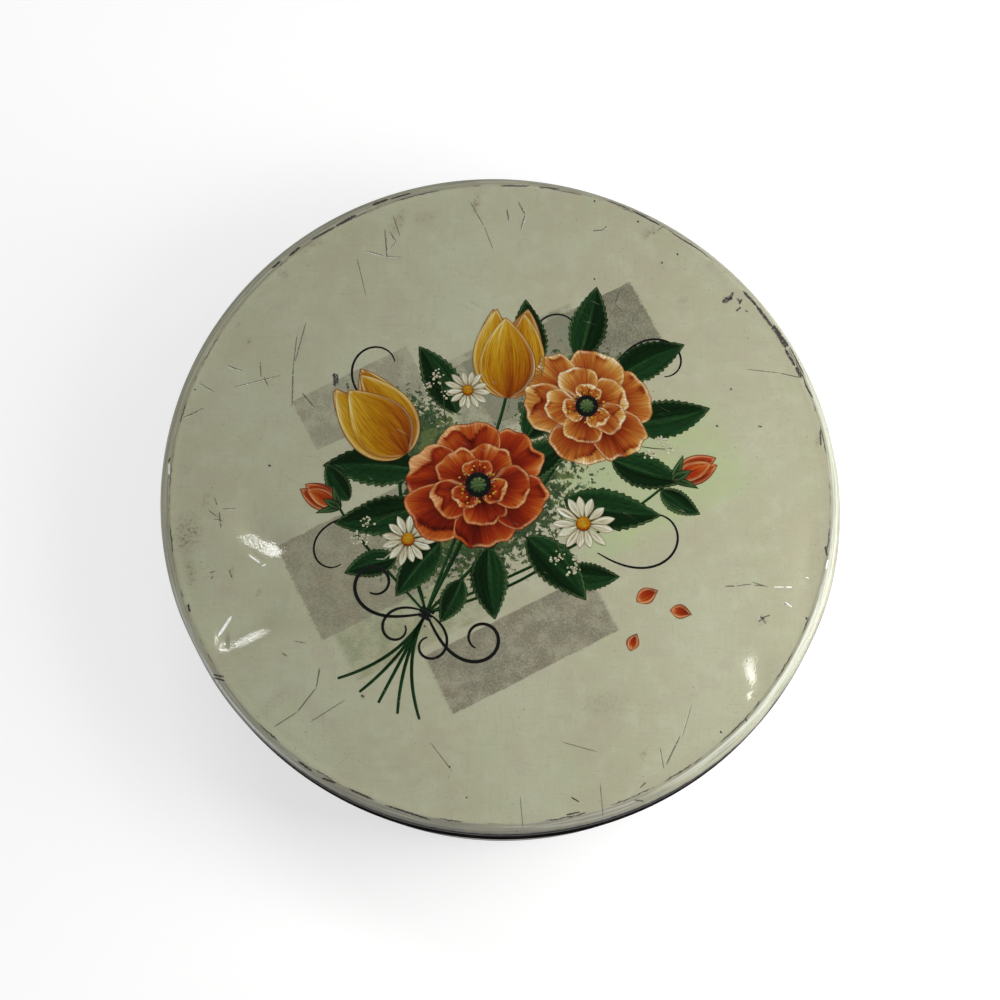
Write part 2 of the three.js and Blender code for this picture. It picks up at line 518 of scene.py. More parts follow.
def largest(total, *others):
    """The strongest of several masks."""
    for value in others:
        total = reckon("MAXIMUM", total, value)
    return total


def rise(value, low, high, start=0.0, end=1.0):
    """A soft step: start where the value is under low, end where it is over high."""
    sockets = {"Value": value, "From Min": low, "From Max": high, "To Min": start, "To Max": end}
    made = place_for([value], "ShaderNodeMapRange", sockets, interpolation_type="SMOOTHSTEP")
    return made.outputs["Result"]


def blend_colour(share, first, second, way="MIX"):
    """The first colour, with the second over it in the given share."""
    made = place_for((share, first, second), "ShaderNodeMix", data_type="RGBA", blend_type=way)
    sockets = {socket.identifier: socket for socket in made.inputs}
    for name, value in (("Factor_Float", share), ("A_Color", first), ("B_Color", second)):
        fill(sockets[name], (*value, 1) if isinstance(value, tuple) else value)
    return next(socket for socket in made.outputs if socket.identifier == "Result_Color")


def layered(colour, *layers):
    """A colour with others laid over it in turn, each a share and a colour."""
    for share, over in layers:
        colour = blend_colour(share, colour, over)
    return colour


print("helpers made: fill, place, reckon, times, largest, rise, blend_colour and layered")

# %% [markdown]
# Patterns need a place to read: the point that is shaded, in the piece's own millimetres. A vector can be
# flattened, turned or stretched before noise reads it, and stretched noise gives long grains.

# %% Helpers for places and noise


def reckon_vector(operation, *values):
    """The result of one Vector Math node: a vector, or a value for a length or a dot product."""
    made = place_for(values, "ShaderNodeVectorMath", enumerate(values), operation=operation)
    return made.outputs["Value" if operation in ("LENGTH", "DOT_PRODUCT", "DISTANCE") else "Vector"]


def scaled(vector, share):
    """A vector made longer or shorter."""
    made = place_for([vector], "ShaderNodeVectorMath", {0: vector, "Scale": share}, operation="SCALE")
    return made.outputs["Vector"]


def flattened(vector):
    """A vector without its height."""
    return reckon_vector("MULTIPLY", vector, (1.0, 1.0, 0.0))


def rotated(vector, angle, back=False):
    """A vector turned round the upright axis by an angle, or turned back by it."""
    sockets = {"Vector": vector, "Angle": angle}
    made = place_for([vector], "ShaderNodeVectorRotate", sockets, rotation_type="Z_AXIS", invert=back)
    return made.outputs["Vector"]


def seen_from(centre, heading, flat):
    """Where a flat place lies from a centre: how far along a heading, and how far beside it."""
    return rotated(reckon_vector("SUBTRACT", flat, centre), heading, back=True)


def axes_of(vector):
    """A vector's outputs X, Y and Z."""
    return place_for([vector], "ShaderNodeSeparateXYZ", {0: vector}).outputs


def vector_of(*values):
    """The vector of three values."""
    return place_for(values, "ShaderNodeCombineXYZ", enumerate(values)).outputs[0]


def place_in_mm(tree):
    """The point that is shaded, on the piece's own Object coordinates, in millimetres."""
    return scaled(place(tree, "ShaderNodeTexCoord").outputs["Object"], 1 / mm)


def noise(vector, scale, detail=2.0, roughness=0.5):
    """Smooth random values from 0 to 1, mostly near 0.5."""
    sockets = {"Vector": vector, "Scale": scale, "Detail": detail, "Roughness": roughness}
    return place_for([vector], "ShaderNodeTexNoise", sockets).outputs["Fac"]


def grains(vector, sizes, detail=2.0, roughness=0.5):
    """Noise whose grains have the given sizes along the three axes."""
    return noise(reckon_vector("DIVIDE", vector, sizes), 1.0, detail, roughness)


print("a point is read in units of", mm, "m")

# %% [markdown]
# What several finishes share is made once as a node group with named inputs and outputs, and each material
# places it with its own values. Old paint is never one colour. Mottling is plain noise at a chosen size, and
# it can vary a colour, a roughness or a height. Hairlines are the fine scratches of years on a shelf: noise
# stretched along one direction, of which only the thin line where it crosses its middle value is kept, broken
# into lengths.

# %% Groups for mottling and hairline scratches


def new_group(name, inputs, outputs):
    """A node group with float or vector inputs, named with their first values, and float outputs."""
    group = bpy.data.node_groups.new(name, "ShaderNodeTree")
    for label, value in inputs.items():
        kind = "NodeSocketVector" if isinstance(value, tuple) else "NodeSocketFloat"
        group.interface.new_socket(label, in_out="INPUT", socket_type=kind).default_value = value
    for label in outputs:
        group.interface.new_socket(label, in_out="OUTPUT", socket_type="NodeSocketFloat")
    return group, place(group, "NodeGroupInput").outputs, place(group, "NodeGroupOutput").inputs


def use_group(tree, group, **values):
    """Places a group, with its inputs given by name, spaces written as underscores."""
    sockets = {label.replace("_", " "): value for label, value in values.items()}
    return place(tree, "ShaderNodeGroup", sockets, node_tree=group).outputs


mottling, sockets, results = new_group("mottling", {"Size": 1.0, "Seed": 0.0}, ["Value"])
shifted = reckon_vector("ADD", place_in_mm(mottling), sockets["Seed"])
fill(results["Value"], grains(shifted, sockets["Size"], 5.0, 0.6))


def mottled(tree, size, seed):
    """The mottling's value at a size in mm."""
    return use_group(tree, mottling, Size=size, Seed=seed)["Value"]


hairlines, sockets, results = new_group(
    "hairlines", {"Heading": 0.0, "Length": 40.0, "Spacing": 3.0, "Fineness": 0.02, "Share": 0.5}, ["Mask"]
)
combed = rotated(place_in_mm(hairlines), sockets["Heading"])
strands = grains(combed, vector_of(sockets["Length"], sockets["Spacing"], sockets["Spacing"]), 1.0)
from_middle = reckon("ABSOLUTE", reckon("SUBTRACT", strands, 0.5))
line = rise(from_middle, 0.0, sockets["Fineness"], 1.0, 0.0)
edge = reckon("SUBTRACT", 1.0, sockets["Share"])
kept = rise(grains(combed, (17.0, 6.0, 6.0)), edge, reckon("ADD", edge, 0.06))
fill(results["Mask"], times(line, kept))


def rubbed(tree, heading, length, spacing, fineness, share):
    """The mask of hairlines along a heading."""
    look = {"Length": length, "Spacing": spacing, "Fineness": fineness, "Share": share}
    return use_group(tree, hairlines, Heading=heading, **look)["Mask"]


print("groups", [group.name for group in bpy.data.node_groups])

# %% [markdown]
# Paint chips first where the sheet is bent. Edge wear takes the distance from such an edge and adds noise
# to a fall-off, so the chips are dense at the edge and thin out away from it. A scrape is one listed mark:
# the distance of a point to a straight line, as a share of the mark's own width there. It hands on the
# least share so far, so that many marks can follow each other. A blotch is a ragged oval.

# %% Groups for edge wear, scrapes and blotches
edge_wear, sockets, results = new_group(
    "edge_wear", {"Distance": 0.0, "Reach": 1.5, "Amount": 0.5, "Size": 1.2, "Seed": 0.0}, ["Mask"]
)
nearness = rise(reckon("ABSOLUTE", sockets["Distance"]), 0.0, sockets["Reach"], 1.0, 0.0)
chips = mottled(edge_wear, sockets["Size"], sockets["Seed"])
fill(results["Mask"], rise(reckon("ADD", chips, times(nearness, sockets["Amount"])), 1.0, 1.04))

scrape, sockets, results = new_group(
    "scrape", {"Before": 9.0, "Start": (0.0, 0.0, 0.0), "Along": (1.0, 0.0, 0.0), "Width": 0.4}, ["Nearest"]
)
gone = reckon_vector("SUBTRACT", flattened(place_in_mm(scrape)), sockets["Start"])
forward, whole = (reckon_vector("DOT_PRODUCT", way, sockets["Along"]) for way in (gone, sockets["Along"]))
share = place(scrape, "ShaderNodeClamp", {"Value": reckon("DIVIDE", forward, whole)}).outputs[0]
apart = reckon_vector("DISTANCE", gone, scaled(sockets["Along"], share))
to_ends = times(share, reckon("SUBTRACT", 1.0, share))
taper = reckon("MINIMUM", reckon("MULTIPLY_ADD", to_ends, 6.0, 0.25), 1.0)
relative = reckon("DIVIDE", apart, times(sockets["Width"], taper))
fill(results["Nearest"], reckon("MINIMUM", sockets["Before"], relative))

blotch, sockets, results = new_group(
    "blotch",
    {"Centre": (0.0, 0.0, 0.0), "Heading": 0.0, "Half length": 5.0, "Half width": 3.0}
    | {"Ragged": 0.4, "Soft": 0.5},
    ["Mask"],
)
flat = flattened(place_in_mm(blotch))
halves = vector_of(sockets["Half length"], sockets["Half width"], 1.0)
local = seen_from(sockets["Centre"], sockets["Heading"], flat)
oval = reckon_vector("LENGTH", reckon_vector("DIVIDE", local, halves))
ragged = times(reckon("SUBTRACT", noise(flat, 0.45, 5.0, 0.65), 0.5), sockets["Ragged"], 3.0)
soft_from = reckon("SUBTRACT", 1.0, sockets["Soft"])
fill(results["Mask"], rise(reckon("ADD", oval, ragged), soft_from, 1.0, 1.0, 0.0))


def blotched(tree, centre, heading, half_length, half_width, **look):
    """The mask of one blotch at a place in mm, with its heading in degrees."""
    look.update(Centre=(*centre, 0.0), Heading=np.radians(heading))
    return use_group(tree, blotch, Half_length=half_length, Half_width=half_width, **look)["Mask"]


print("groups", [group.name for group in bpy.data.node_groups])

# %% [markdown]
# The marks that the photograph shows on the lid are listed once, by the pixels where they start and end, and
# gathered in one group. The enamel and the print both place that group, so a scratch that crosses a petal
# runs on over the ground beside it.

# %% Gather the lid's own scratches
# Each mark: where it starts and where it ends, across and down the photograph, and its width in mm
scratch_pixels = (
    (306, 322, 295, 362, 0.35), (297, 334, 293, 368, 0.3), (293, 366, 292, 407, 0.38),
    (233, 387, 281, 375, 0.28), (302, 393, 314, 407, 0.45), (226, 365, 243, 371, 0.4),
    (183, 418, 204, 408, 0.4), (260, 361, 261, 377, 0.32), (264, 377, 268, 386, 0.3),
    (199, 383, 214, 392, 0.35), (385, 229, 387, 257, 0.45), (390, 232, 396, 242, 0.4),
    (396, 242, 391, 248, 0.32), (393, 215, 400, 236, 0.3), (366, 251, 385, 256, 0.34),
    (385, 256, 402, 257, 0.26), (357, 258, 366, 296, 0.24), (470, 201, 484, 226, 0.28),
    (484, 226, 493, 249, 0.24), (507, 209, 509, 221, 0.5), (518, 201, 525, 214, 0.45),
    (525, 214, 521, 230, 0.45), (593, 231, 603, 230, 0.42), (603, 230, 607, 226, 0.42),
    (615, 304, 620, 290, 0.4), (615, 304, 622, 311, 0.22), (652, 234, 664, 226, 0.26),
    (746, 369, 780, 373, 0.24), (780, 373, 802, 378, 0.3), (725, 586, 735, 586, 0.38),
    (735, 586, 752, 584, 0.28), (752, 582, 768, 587, 0.26), (754, 585, 766, 586, 0.28),
    (758, 622, 764, 617, 0.4), (764, 617, 770, 615, 0.4), (760, 616, 766, 624, 0.38),
    (692, 703, 682, 738, 0.22), (680, 736, 666, 765, 0.42), (660, 747, 664, 770, 0.26),
    (640, 788, 646, 782, 0.4), (274, 727, 297, 712, 0.3), (297, 712, 316, 688, 0.34),
    (316, 688, 320, 668, 0.3), (319, 668, 317, 684, 0.26), (310, 722, 345, 700, 0.24),
    (376, 559, 384, 559, 0.3), (384, 559, 391, 553, 0.36), (208, 510, 219, 518, 0.28),
    (219, 512, 221, 528, 0.38), (214, 519, 223, 521, 0.32), (222, 509, 236, 508, 0.22),
    (214, 497, 217, 505, 0.3), (229, 570, 232, 578, 0.36), (210, 573, 215, 571, 0.34),
    (211, 579, 213, 576, 0.3), (293, 641, 306, 643, 0.28), (282, 653, 287, 656, 0.42),
    (562, 742, 598, 752, 0.22), (430, 742, 452, 771, 0.24), (214, 677, 225, 681, 0.34),
    (213, 674, 221, 677, 0.34), (520, 796, 523, 828, 0.22), (600, 783, 603, 816, 0.26),
    (634, 800, 644, 801, 0.42), (608, 826, 611, 818, 0.38), (640, 214, 648, 216, 0.3),
)
chip_pixels = (
    (411, 193, 390, 199, 0.5), (388, 199, 372, 205, 0.75), (356, 215, 336, 226, 0.8),
    (335, 227, 311, 240, 0.6), (300, 247, 289, 256, 0.7), (281, 261, 272, 268, 0.7),
    (500, 186, 530, 186, 0.4), (540, 187, 560, 189, 0.4), (607, 200, 630, 209, 0.4),
    (632, 210, 660, 225, 0.6), (672, 233, 700, 250, 0.42), (743, 291, 757, 306, 0.8),
    (756, 305, 773, 328, 0.95), (772, 325, 781, 336, 1.6), (781, 336, 788, 346, 1.3),
    (776, 331, 786, 348, 1), (785, 349, 795, 366, 0.85), (796, 367, 801, 377, 0.95),
    (790, 346, 804, 374, 0.45), (805, 384, 813, 398, 0.5), (723, 302, 729, 298, 1.5),
    (727, 300, 732, 297, 1.25), (731, 297, 733, 292, 0.7), (737, 298, 741, 303, 0.55),
    (742, 299, 739, 304, 0.5), (741, 307, 736, 311, 0.5), (745, 310, 748, 312, 0.4),
    (334, 373, 335, 386, 0.95), (337, 374, 337, 384, 0.8), (347, 383, 348, 389, 0.7),
    (361, 695, 364, 697, 0.6), (424, 625, 425, 627, 0.5), (762, 617, 764, 619, 0.6),
    (349, 789, 372, 799, 0.5), (385, 805, 431, 820, 0.45), (298, 761, 312, 771, 0.5),
    (322, 778, 336, 783, 0.5), (566, 815, 580, 812, 0.45), (571, 797, 579, 802, 0.4),
    (213, 674, 224, 677, 0.35), (213, 677, 225, 681, 0.35), (188, 604, 190, 612, 0.6),
    (825, 546, 827, 556, 0.5), (731, 388, 731, 390, 0.6), (716, 425, 718, 427, 0.5),
    (758, 426, 762, 427, 0.45), (820, 430, 821, 446, 0.45), (785, 603, 786, 604, 0.5),
    (806, 617, 807, 620, 0.5), (720, 731, 722, 733, 0.5), (745, 719, 747, 721, 0.5),
    (661, 262, 663, 263, 0.6), (677, 253, 678, 255, 0.5), (594, 200, 595, 202, 0.5),
    (637, 221, 639, 222, 0.5), (594, 278, 595, 280, 0.45), (268, 465, 271, 466, 0.5),
    (194, 389, 196, 390, 0.5), (449, 766, 450, 768, 0.5), (466, 797, 467, 798, 0.45),
    (640, 344, 642, 347, 0.55), (170, 458, 168, 462, 0.45),
)
# Painted highlights: white strokes that stand in for the glare on the dents and the rim
painted_glint_pixels = (
    (218, 636, 231, 616, 0.72), (249, 555, 260, 563, 0.4), (262, 566, 266, 564, 0.32),
    (774, 587, 784, 587, 0.2), (786, 587, 792, 587, 0.32), (785, 602, 792, 607, 0.26),
    (828, 560, 826, 569, 0.36), (806, 577, 809, 578, 0.24), (169, 463, 169, 475, 0.32),
)


def gather_marks(name, marks, grit):
    """A group whose mask is 1 on the nearest of the scrapes, with its edge roughened and its line broken."""
    group, _, results = new_group(name, {}, ["Mask"])
    nearest = 9.0
    for *start, across, down, width in marks:
        start, end = from_photo(*start), from_photo(across, down)
        route = {"Start": (*start, 0.0), "Along": (*(end - start), 0.0)}
        nearest = use_group(group, scrape, Before=nearest, **route, Width=width)["Nearest"]
    grain = noise(place_in_mm(group), 1.3, 3.0, 0.7)
    frayed = reckon("MULTIPLY_ADD", reckon("SUBTRACT", grain, 0.5), grit, nearest)
    fill(results["Mask"], times(rise(frayed, 0.4, 1.0, 1.0, 0.0), rise(grain, 0.32, 0.44)))
    return group


lid_scratches = gather_marks("lid_scratches", scratch_pixels, 1.5)
lid_chips = gather_marks("lid_chips", chip_pixels, 2.2)
# These marks are painted highlights, white strokes that stand in for glare
lid_painted_glints = gather_marks("lid_painted_glints", painted_glint_pixels, 0.8)
print("marks placed", len(scratch_pixels) + len(chip_pixels) + len(painted_glint_pixels))

# %% [markdown]
# Three creases are too fine for the mesh, so they are a height in the enamel instead. Each dips as
# depth times exp(-(q/w)² - (p/l)⁴), with p along it and q beside it.

# %% Group for the small creases
# Each crease: place in the photograph, heading, half length, half width and depth in mm
crease_marks = (
    ((222, 641), 4, 2.2, 3.0, 0.66), ((256, 556), -34, 3.4, 1.1, 0.15), ((752, 696), -60, 1.2, 1.4, 0.2),
)
small_creases, _, results = new_group("small_creases", {}, ["Depth"])
flat = flattened(place_in_mm(small_creases))
total = 0.0
for pixel, heading, half_length, half_width, depth in crease_marks:
    local = seen_from((*from_photo(*pixel), 0.0), np.radians(heading), flat)
    shares = axes_of(reckon_vector("DIVIDE", local, (half_length, half_width, 1.0)))
    fall = reckon("ADD", reckon("POWER", shares["Y"], 2.0), reckon("POWER", shares["X"], 4.0))
    total = reckon("MULTIPLY_ADD", reckon("EXPONENT", times(fall, -1.0)), depth, total)
fill(results["Depth"], total)
print("creases placed", len(crease_marks))

# %% [markdown]
# Behind the flowers lie broad washes of thin paint, put on with a wide, half dry brush: grey-brown ones and
# a sage green one. A wash is a long box whose sides and ends waver a little, stippled all over, and thinner
# in cloudy patches where the brush was lifted.

# %% Group for a dry-brushed wash
brushed_wash, sockets, results = new_group(
    "brushed_wash",
    {"Centre": (0.0, 0.0, 0.0), "Heading": 0.0, "Half length": 40.0, "Half width": 15.0}
    | {"Cover": 0.7, "Fade": 0.03},
    ["Mask"],
)
flat = flattened(place_in_mm(brushed_wash))
local = seen_from(sockets["Centre"], sockets["Heading"], flat)
apart = axes_of(reckon_vector("ABSOLUTE", local))
along = reckon("DIVIDE", apart["X"], sockets["Half length"])
beside = reckon("DIVIDE", apart["Y"], sockets["Half width"])
torn = reckon("MULTIPLY_ADD", noise(flat, 0.9, 3.0, 0.7), 0.10, along)
uneven = reckon("MULTIPLY_ADD", grains(local, (9.0, 30.0, 1.0), 3.0, 0.7), 0.12, beside)
brush_end = 1.07
fade_from = reckon("SUBTRACT", brush_end, sockets["Fade"])
ends, sides = (rise(distance, fade_from, brush_end, 1.0, 0.0) for distance in (torn, uneven))
stipple = times(noise(flat, 1.6, 4.0, 0.75), 0.8)
dabs = rise(reckon("MULTIPLY_ADD", noise(flat, 0.16, 3.0, 0.6), 0.9, stipple), 0.72, 0.92)
grain = rise(noise(flat, 1.15, 3.0, 0.75), 0.34, 0.60, 0.66, 1.0)
cover = reckon("MULTIPLY_ADD", dabs, reckon("SUBTRACT", 1.0, sockets["Cover"]), sockets["Cover"])
fill(results["Mask"], times(ends, sides, grain, cover))

# Each wash: centre, half length, half width, cover, how far its edges fade, and colour
wash_heading = 27
washes = (
    ((56, 4), 40, 24, 0.50, 0.40, (0.345, 0.415, 0.222)),
    ((-52, 36), 24, 11, 0.45, 0.03, (0.232, 0.234, 0.165)),
    ((-36, -20), 42, 20, 0.70, 0.03, (0.206, 0.202, 0.140)),
    ((24, 54), 36, 14, 0.75, 0.03, (0.138, 0.136, 0.096)),
    ((8, 46), 30, 17, 0.25, 0.06, (0.200, 0.208, 0.142)),
    ((8, -58), 34, 12, 0.60, 0.05, (0.170, 0.160, 0.116)),
    ((-30, -50), 30, 10, 0.25, 0.10, (0.255, 0.275, 0.165)),
)
print("washes", len(washes))

# %% [markdown]
# The lid's enamel is cream on the panel and the shoulder, and black on the skirt. The cream varies slowly in
# tone, yellows or greens in clouds, and has a faint weave from the roller that laid it. The washes lie on it,
# and over them foliage dabbed on with a sponge, lightest where the sponge was driest.

# %% Ground of the lid's enamel
cream = (0.405, 0.410, 0.288)
cream_warm = (0.380, 0.368, 0.252)
cream_pale = (0.435, 0.448, 0.325)
cream_dirty = (0.27, 0.25, 0.18)
cream_blushed = (0.378, 0.357, 0.262)
cream_greened = (0.372, 0.405, 0.262)
woven = (0.26, 0.25, 0.18)
wash_warmth = (1.07, 1.0, 0.98)
green_dark, green_mid = (0.005, 0.020, 0.005), (0.022, 0.058, 0.014)
green_light, green_dry = (0.085, 0.120, 0.030), (0.150, 0.190, 0.080)


def new_material(name):
    """A material with only its shader, which stays in the material itself."""
    made = bpy.data.materials.new(name)
    made.use_nodes = True
    tree = made.node_tree
    tree.nodes.clear()
    shader = place(tree, "ShaderNodeBsdfPrincipled")
    place(tree, "ShaderNodeOutputMaterial", {"Surface": shader.outputs["BSDF"]})
    return made, tree, shader.inputs


lid_enamel, tree, shader = new_material("lid_enamel")
position = place_in_mm(tree)
patchy = mottled(tree, 9.0, 11.0)
blushed = noise(position, 0.11, 4.0, 0.65)
weave = largest(*(grains(position, sizes, 2.0, 0.6) for sizes in ((0.8, 16.0, 4.0), (16.0, 0.8, 4.0))))
colour = layered(
    cream_warm,
    (rise(mottled(tree, 46.0, 3.0), 0.35, 0.65), cream),
    (rise(patchy, 0.45, 0.75, 0.0, 0.6), cream_pale),
    (rise(mottled(tree, 1.1, 5.0), 0.50, 0.72, 0.0, 0.16), cream_dirty),
    (rise(blushed, 0.52, 0.68, 0.0, 0.5), cream_blushed),
    (rise(blushed, 0.30, 0.46, 0.5, 0.0), cream_greened),
    (rise(weave, 0.56, 0.70, 0.0, 0.14), woven),
)

for centre, half_length, half_width, cover, fade, paint in washes:
    route = {"Centre": (*centre, 0.0), "Heading": np.radians(wash_heading)}
    look = {"Half_length": half_length, "Half_width": half_width, "Cover": cover, "Fade": fade}
    warmer = tuple(share * channel for share, channel in zip(wash_warmth, paint))
    tinted = blend_colour(rise(blushed, 0.42, 0.60), paint, warmer)
    colour = blend_colour(use_group(tree, brushed_wash, **route, **look)["Mask"], colour, tinted)

# The sponged foliage behind the flowers: centre, heading, half length, half width
foliage = (((-4, -6), 30, 44, 27), ((30, 34), 40, 26, 24), ((-26, 14), 120, 30, 18))
clump = noise(position, 0.16, 3.0, 0.55)
leafy = noise(position, 0.42, 4.0, 0.70)
sponged = noise(position, 1.10, 3.0, 0.6)
for spot in foliage:
    cloud = blotched(tree, *spot, Ragged=0.8, Soft=0.50)
    cover = rise(reckon("MULTIPLY_ADD", cloud, 0.62, times(sponged, 0.9)), 0.62, 0.80)
    greens = layered(
        green_dark,
        (rise(leafy, 0.40, 0.56), green_mid),
        (rise(clump, 0.50, 0.64, 0.0, 0.8), green_light),
        (rise(sponged, 0.60, 0.68, 0.0, 0.7), green_dry),
    )
    colour = blend_colour(times(cover, 0.95), colour, greens)
print("ground has", len(tree.nodes), "nodes")

# %% [markdown]
# Brown stains and greyer smudges lie where the photograph shows them. Dark specks, and the lines of years of
# rubbing, are all over.

# %% Stains, specks and rubbed lines on the lid
# Each spot: place in the photograph, heading, half length, half width, strength
stains = (
    ((188, 534), 80, 11.0, 7.0, 0.72), ((190, 572), 100, 8.0, 3.4, 0.50), ((476, 203), 80, 6.0, 2.2, 0.75),
    ((398, 222), 60, 8.0, 3.4, 0.66), ((650, 232), 30, 7.0, 2.6, 0.50), ((259, 592), 60, 2.0, 1.2, 0.85),
    ((372, 208), 20, 9.0, 2.6, 0.45), ((310, 246), 32, 9.0, 2.2, 0.40), ((426, 218), 20, 8.0, 4.0, 0.25),
    ((644, 754), 70, 4.0, 1.6, 0.45), ((205, 500), 60, 6.0, 3.0, 0.30), ((232, 572), 90, 3.6, 1.2, 0.50),
    ((425, 626), 60, 2.2, 1.3, 0.70), ((363, 697), 60, 1.8, 1.2, 0.70), ((712, 262), 20, 5.0, 2.5, 0.30),
)
smudges = (
    ((249, 340), 70, 2.4, 1.9, 0.62), ((238, 325), 60, 2.6, 1.0, 0.38), ((284, 274), -30, 4.0, 2.0, 0.40),
    ((683, 300), 10, 3.0, 2.2, 0.45), ((818, 440), 80, 5.0, 1.6, 0.45), ((762, 620), 50, 3.4, 2.6, 0.38),
    ((276, 700), 40, 12.0, 4.0, 0.20), ((600, 706), 10, 16.0, 8.0, 0.22), ((595, 345), 30, 12.0, 6.0, 0.18),
)
stain_brown, smudge_grey = (0.165, 0.120, 0.066), (0.120, 0.118, 0.100)
rubbed_line, speck_dark = (0.20, 0.18, 0.13), (0.10, 0.08, 0.06)
# Two crops of rubbed lines: heading, length, spacing, fineness and share that is kept
first_rubbing, second_rubbing = (0.5, 45.0, 2.4, 0.008, 0.42), (2.3, 38.0, 2.0, 0.008, 0.40)


def strongest_spot(tree, spots):
    """The mask of several blotches, each in its own strength."""
    total = 0.0
    for pixel, *sizes, strength in spots:
        total = largest(total, times(blotched(tree, from_photo(*pixel), *sizes, Soft=0.9), strength))
    return total


speckled = rise(mottled(tree, 1.3, 26.0), 0.48, 0.62, 0.25, 1.0)
few = rise(mottled(tree, 14.0, 21.0), 0.45, 0.60)
specks = times(rise(mottled(tree, 0.85, 40.0), 0.665, 0.70), reckon("MULTIPLY_ADD", few, 0.6, 0.4))
scuffs = largest(rubbed(tree, *first_rubbing), rubbed(tree, *second_rubbing))
colour = layered(
    colour,
    (times(strongest_spot(tree, stains), speckled), stain_brown),
    (times(strongest_spot(tree, smudges), speckled), smudge_grey),
    (times(scuffs, 0.22), rubbed_line),
    (times(specks, 0.80), speck_dark),
)
print("stains and smudges", len(stains) + len(smudges))

# %% [markdown]
# The shoulder is greyed by a painted shade: greyest at the near side, less at the far one, and hardly at
# the right, where a painted highlight, a pale band, runs over it instead. Painted shade darkens the bend
# along the left and the right, streaks run down over the edge, and a painted highlight, a light line,
# follows the lower left.

# %% Wear, painted shade and painted highlights on the lid's shoulder
lid_top_mm = lid_top / mm
shoulder_mm = shoulder_radius / mm
bent_mm = (lid_top - shoulder_radius) / mm
# The first colour is a painted shade for the shoulder, the second a pale painted highlight band and the third
# a painted highlight line
shoulder_shade_grey, rim_highlight_pale, lower_left_highlight = (0.225, 0.220, 0.180), (0.460, 0.480, 0.380), (0.640, 0.640, 0.600)
# Two colours of painted shade for the bend, at the right and at the left
bend_shade_right, bend_shade_left = (0.220, 0.220, 0.155), (0.215, 0.200, 0.125)
streak_dark, streak_light = (0.200, 0.190, 0.180), (0.520, 0.520, 0.480)

axes = axes_of(position)
from_axis = reckon_vector("LENGTH", flattened(position))
from_crease = reckon("SUBTRACT", from_axis, crease_radius / mm)
outward = reckon_vector("NORMALIZE", flattened(position))
round_rim = axes_of(outward)
right, back = round_rim["X"], round_rim["Y"]
down_rim = times(reckon("SUBTRACT", from_axis, axes["Z"]), 0.22)
streaks = noise(vector_of(right, back, down_rim), 5.5, 4.0, 0.6)
on_shoulder = rise(from_crease, -0.2, 0.5)
# How strong the shoulder's painted grey shade is: most at the near side, less at the far one, least at the
# right
greyed = largest(rise(back, -0.9, -0.2, 0.62, 0.06), rise(back, 0.2, 0.9, 0.06, 0.34))
greyed = times(greyed, rise(right, 0.15, 0.65, 1.0, 0.1))
at_right = times(rise(right, 0.35, 0.70), rise(back, 0.35, 0.6, 1.0, 0.2))
at_left = times(rise(right, 0.3, -0.1), rise(back, -0.35, -0.05))
at_lower_left = times(rise(back, -0.2, -0.35), rise(right, -0.45, -0.6))
# Where the bend's painted shade lies, just inside and over the crease
in_bend = times(rise(from_crease, -0.7, 0.2), rise(from_crease, 0.8, 1.2, 0.66, 0.0))
# The right shoulder's painted highlight: a pale band from about 1 to 3 mm out from the crease
highlight_band = times(rise(from_crease, 0.9, 1.3), rise(from_crease, 2.4, 3.2, 1.0, 0.2))
# The painted highlight line at the lower left runs about 2.5 mm out from the crease
from_line = reckon("ABSOLUTE", reckon("SUBTRACT", from_crease, 2.5))
# Painted shade greys the shoulder and darkens the bend, and painted highlights lay the pale band and the
# light line
colour = layered(
    colour,
    (times(on_shoulder, greyed), shoulder_shade_grey),
    (times(at_right, in_bend), bend_shade_right),
    (times(at_left, in_bend, 0.75), bend_shade_left),
    (times(at_right, highlight_band), rim_highlight_pale),
    (times(on_shoulder, rise(streaks, 0.50, 0.62, 0.0, 0.50)), streak_dark),
    (times(on_shoulder, rise(streaks, 0.36, 0.46, 0.45, 0.0)), streak_light),
    (times(at_lower_left, rise(from_line, 0.15, 0.55, 0.65, 0.0)), lower_left_highlight),
)
print("shoulder wear ends at", len(tree.nodes), "nodes")

# %% [markdown]
# Where paint is missing, old dark tin shows, and it's rougher and a little lower than the paint. It's gone
# along the crease, at the rim and in the chips. White strokes are painted highlights that stand in for
# glare. Below the bend the enamel turns black, and it reaches highest up the shoulder at the near side.
# Just above the black, grime and a painted shade darken the cream.

# %% Scratches, chips, painted highlights and the black skirt
soot_black = (0.011, 0.010, 0.009)
bare_dark = (0.045, 0.037, 0.036)
# The second colour is for painted highlights, white strokes that stand in for glare
scratch_dark, painted_glint_white = (0.075, 0.060, 0.046), (0.97, 0.98, 0.95)
# The second colour is grime and a painted shade just above the black edge
rubbed_grey, grime_and_shade_black = (0.165, 0.158, 0.160), (0.110, 0.102, 0.098)

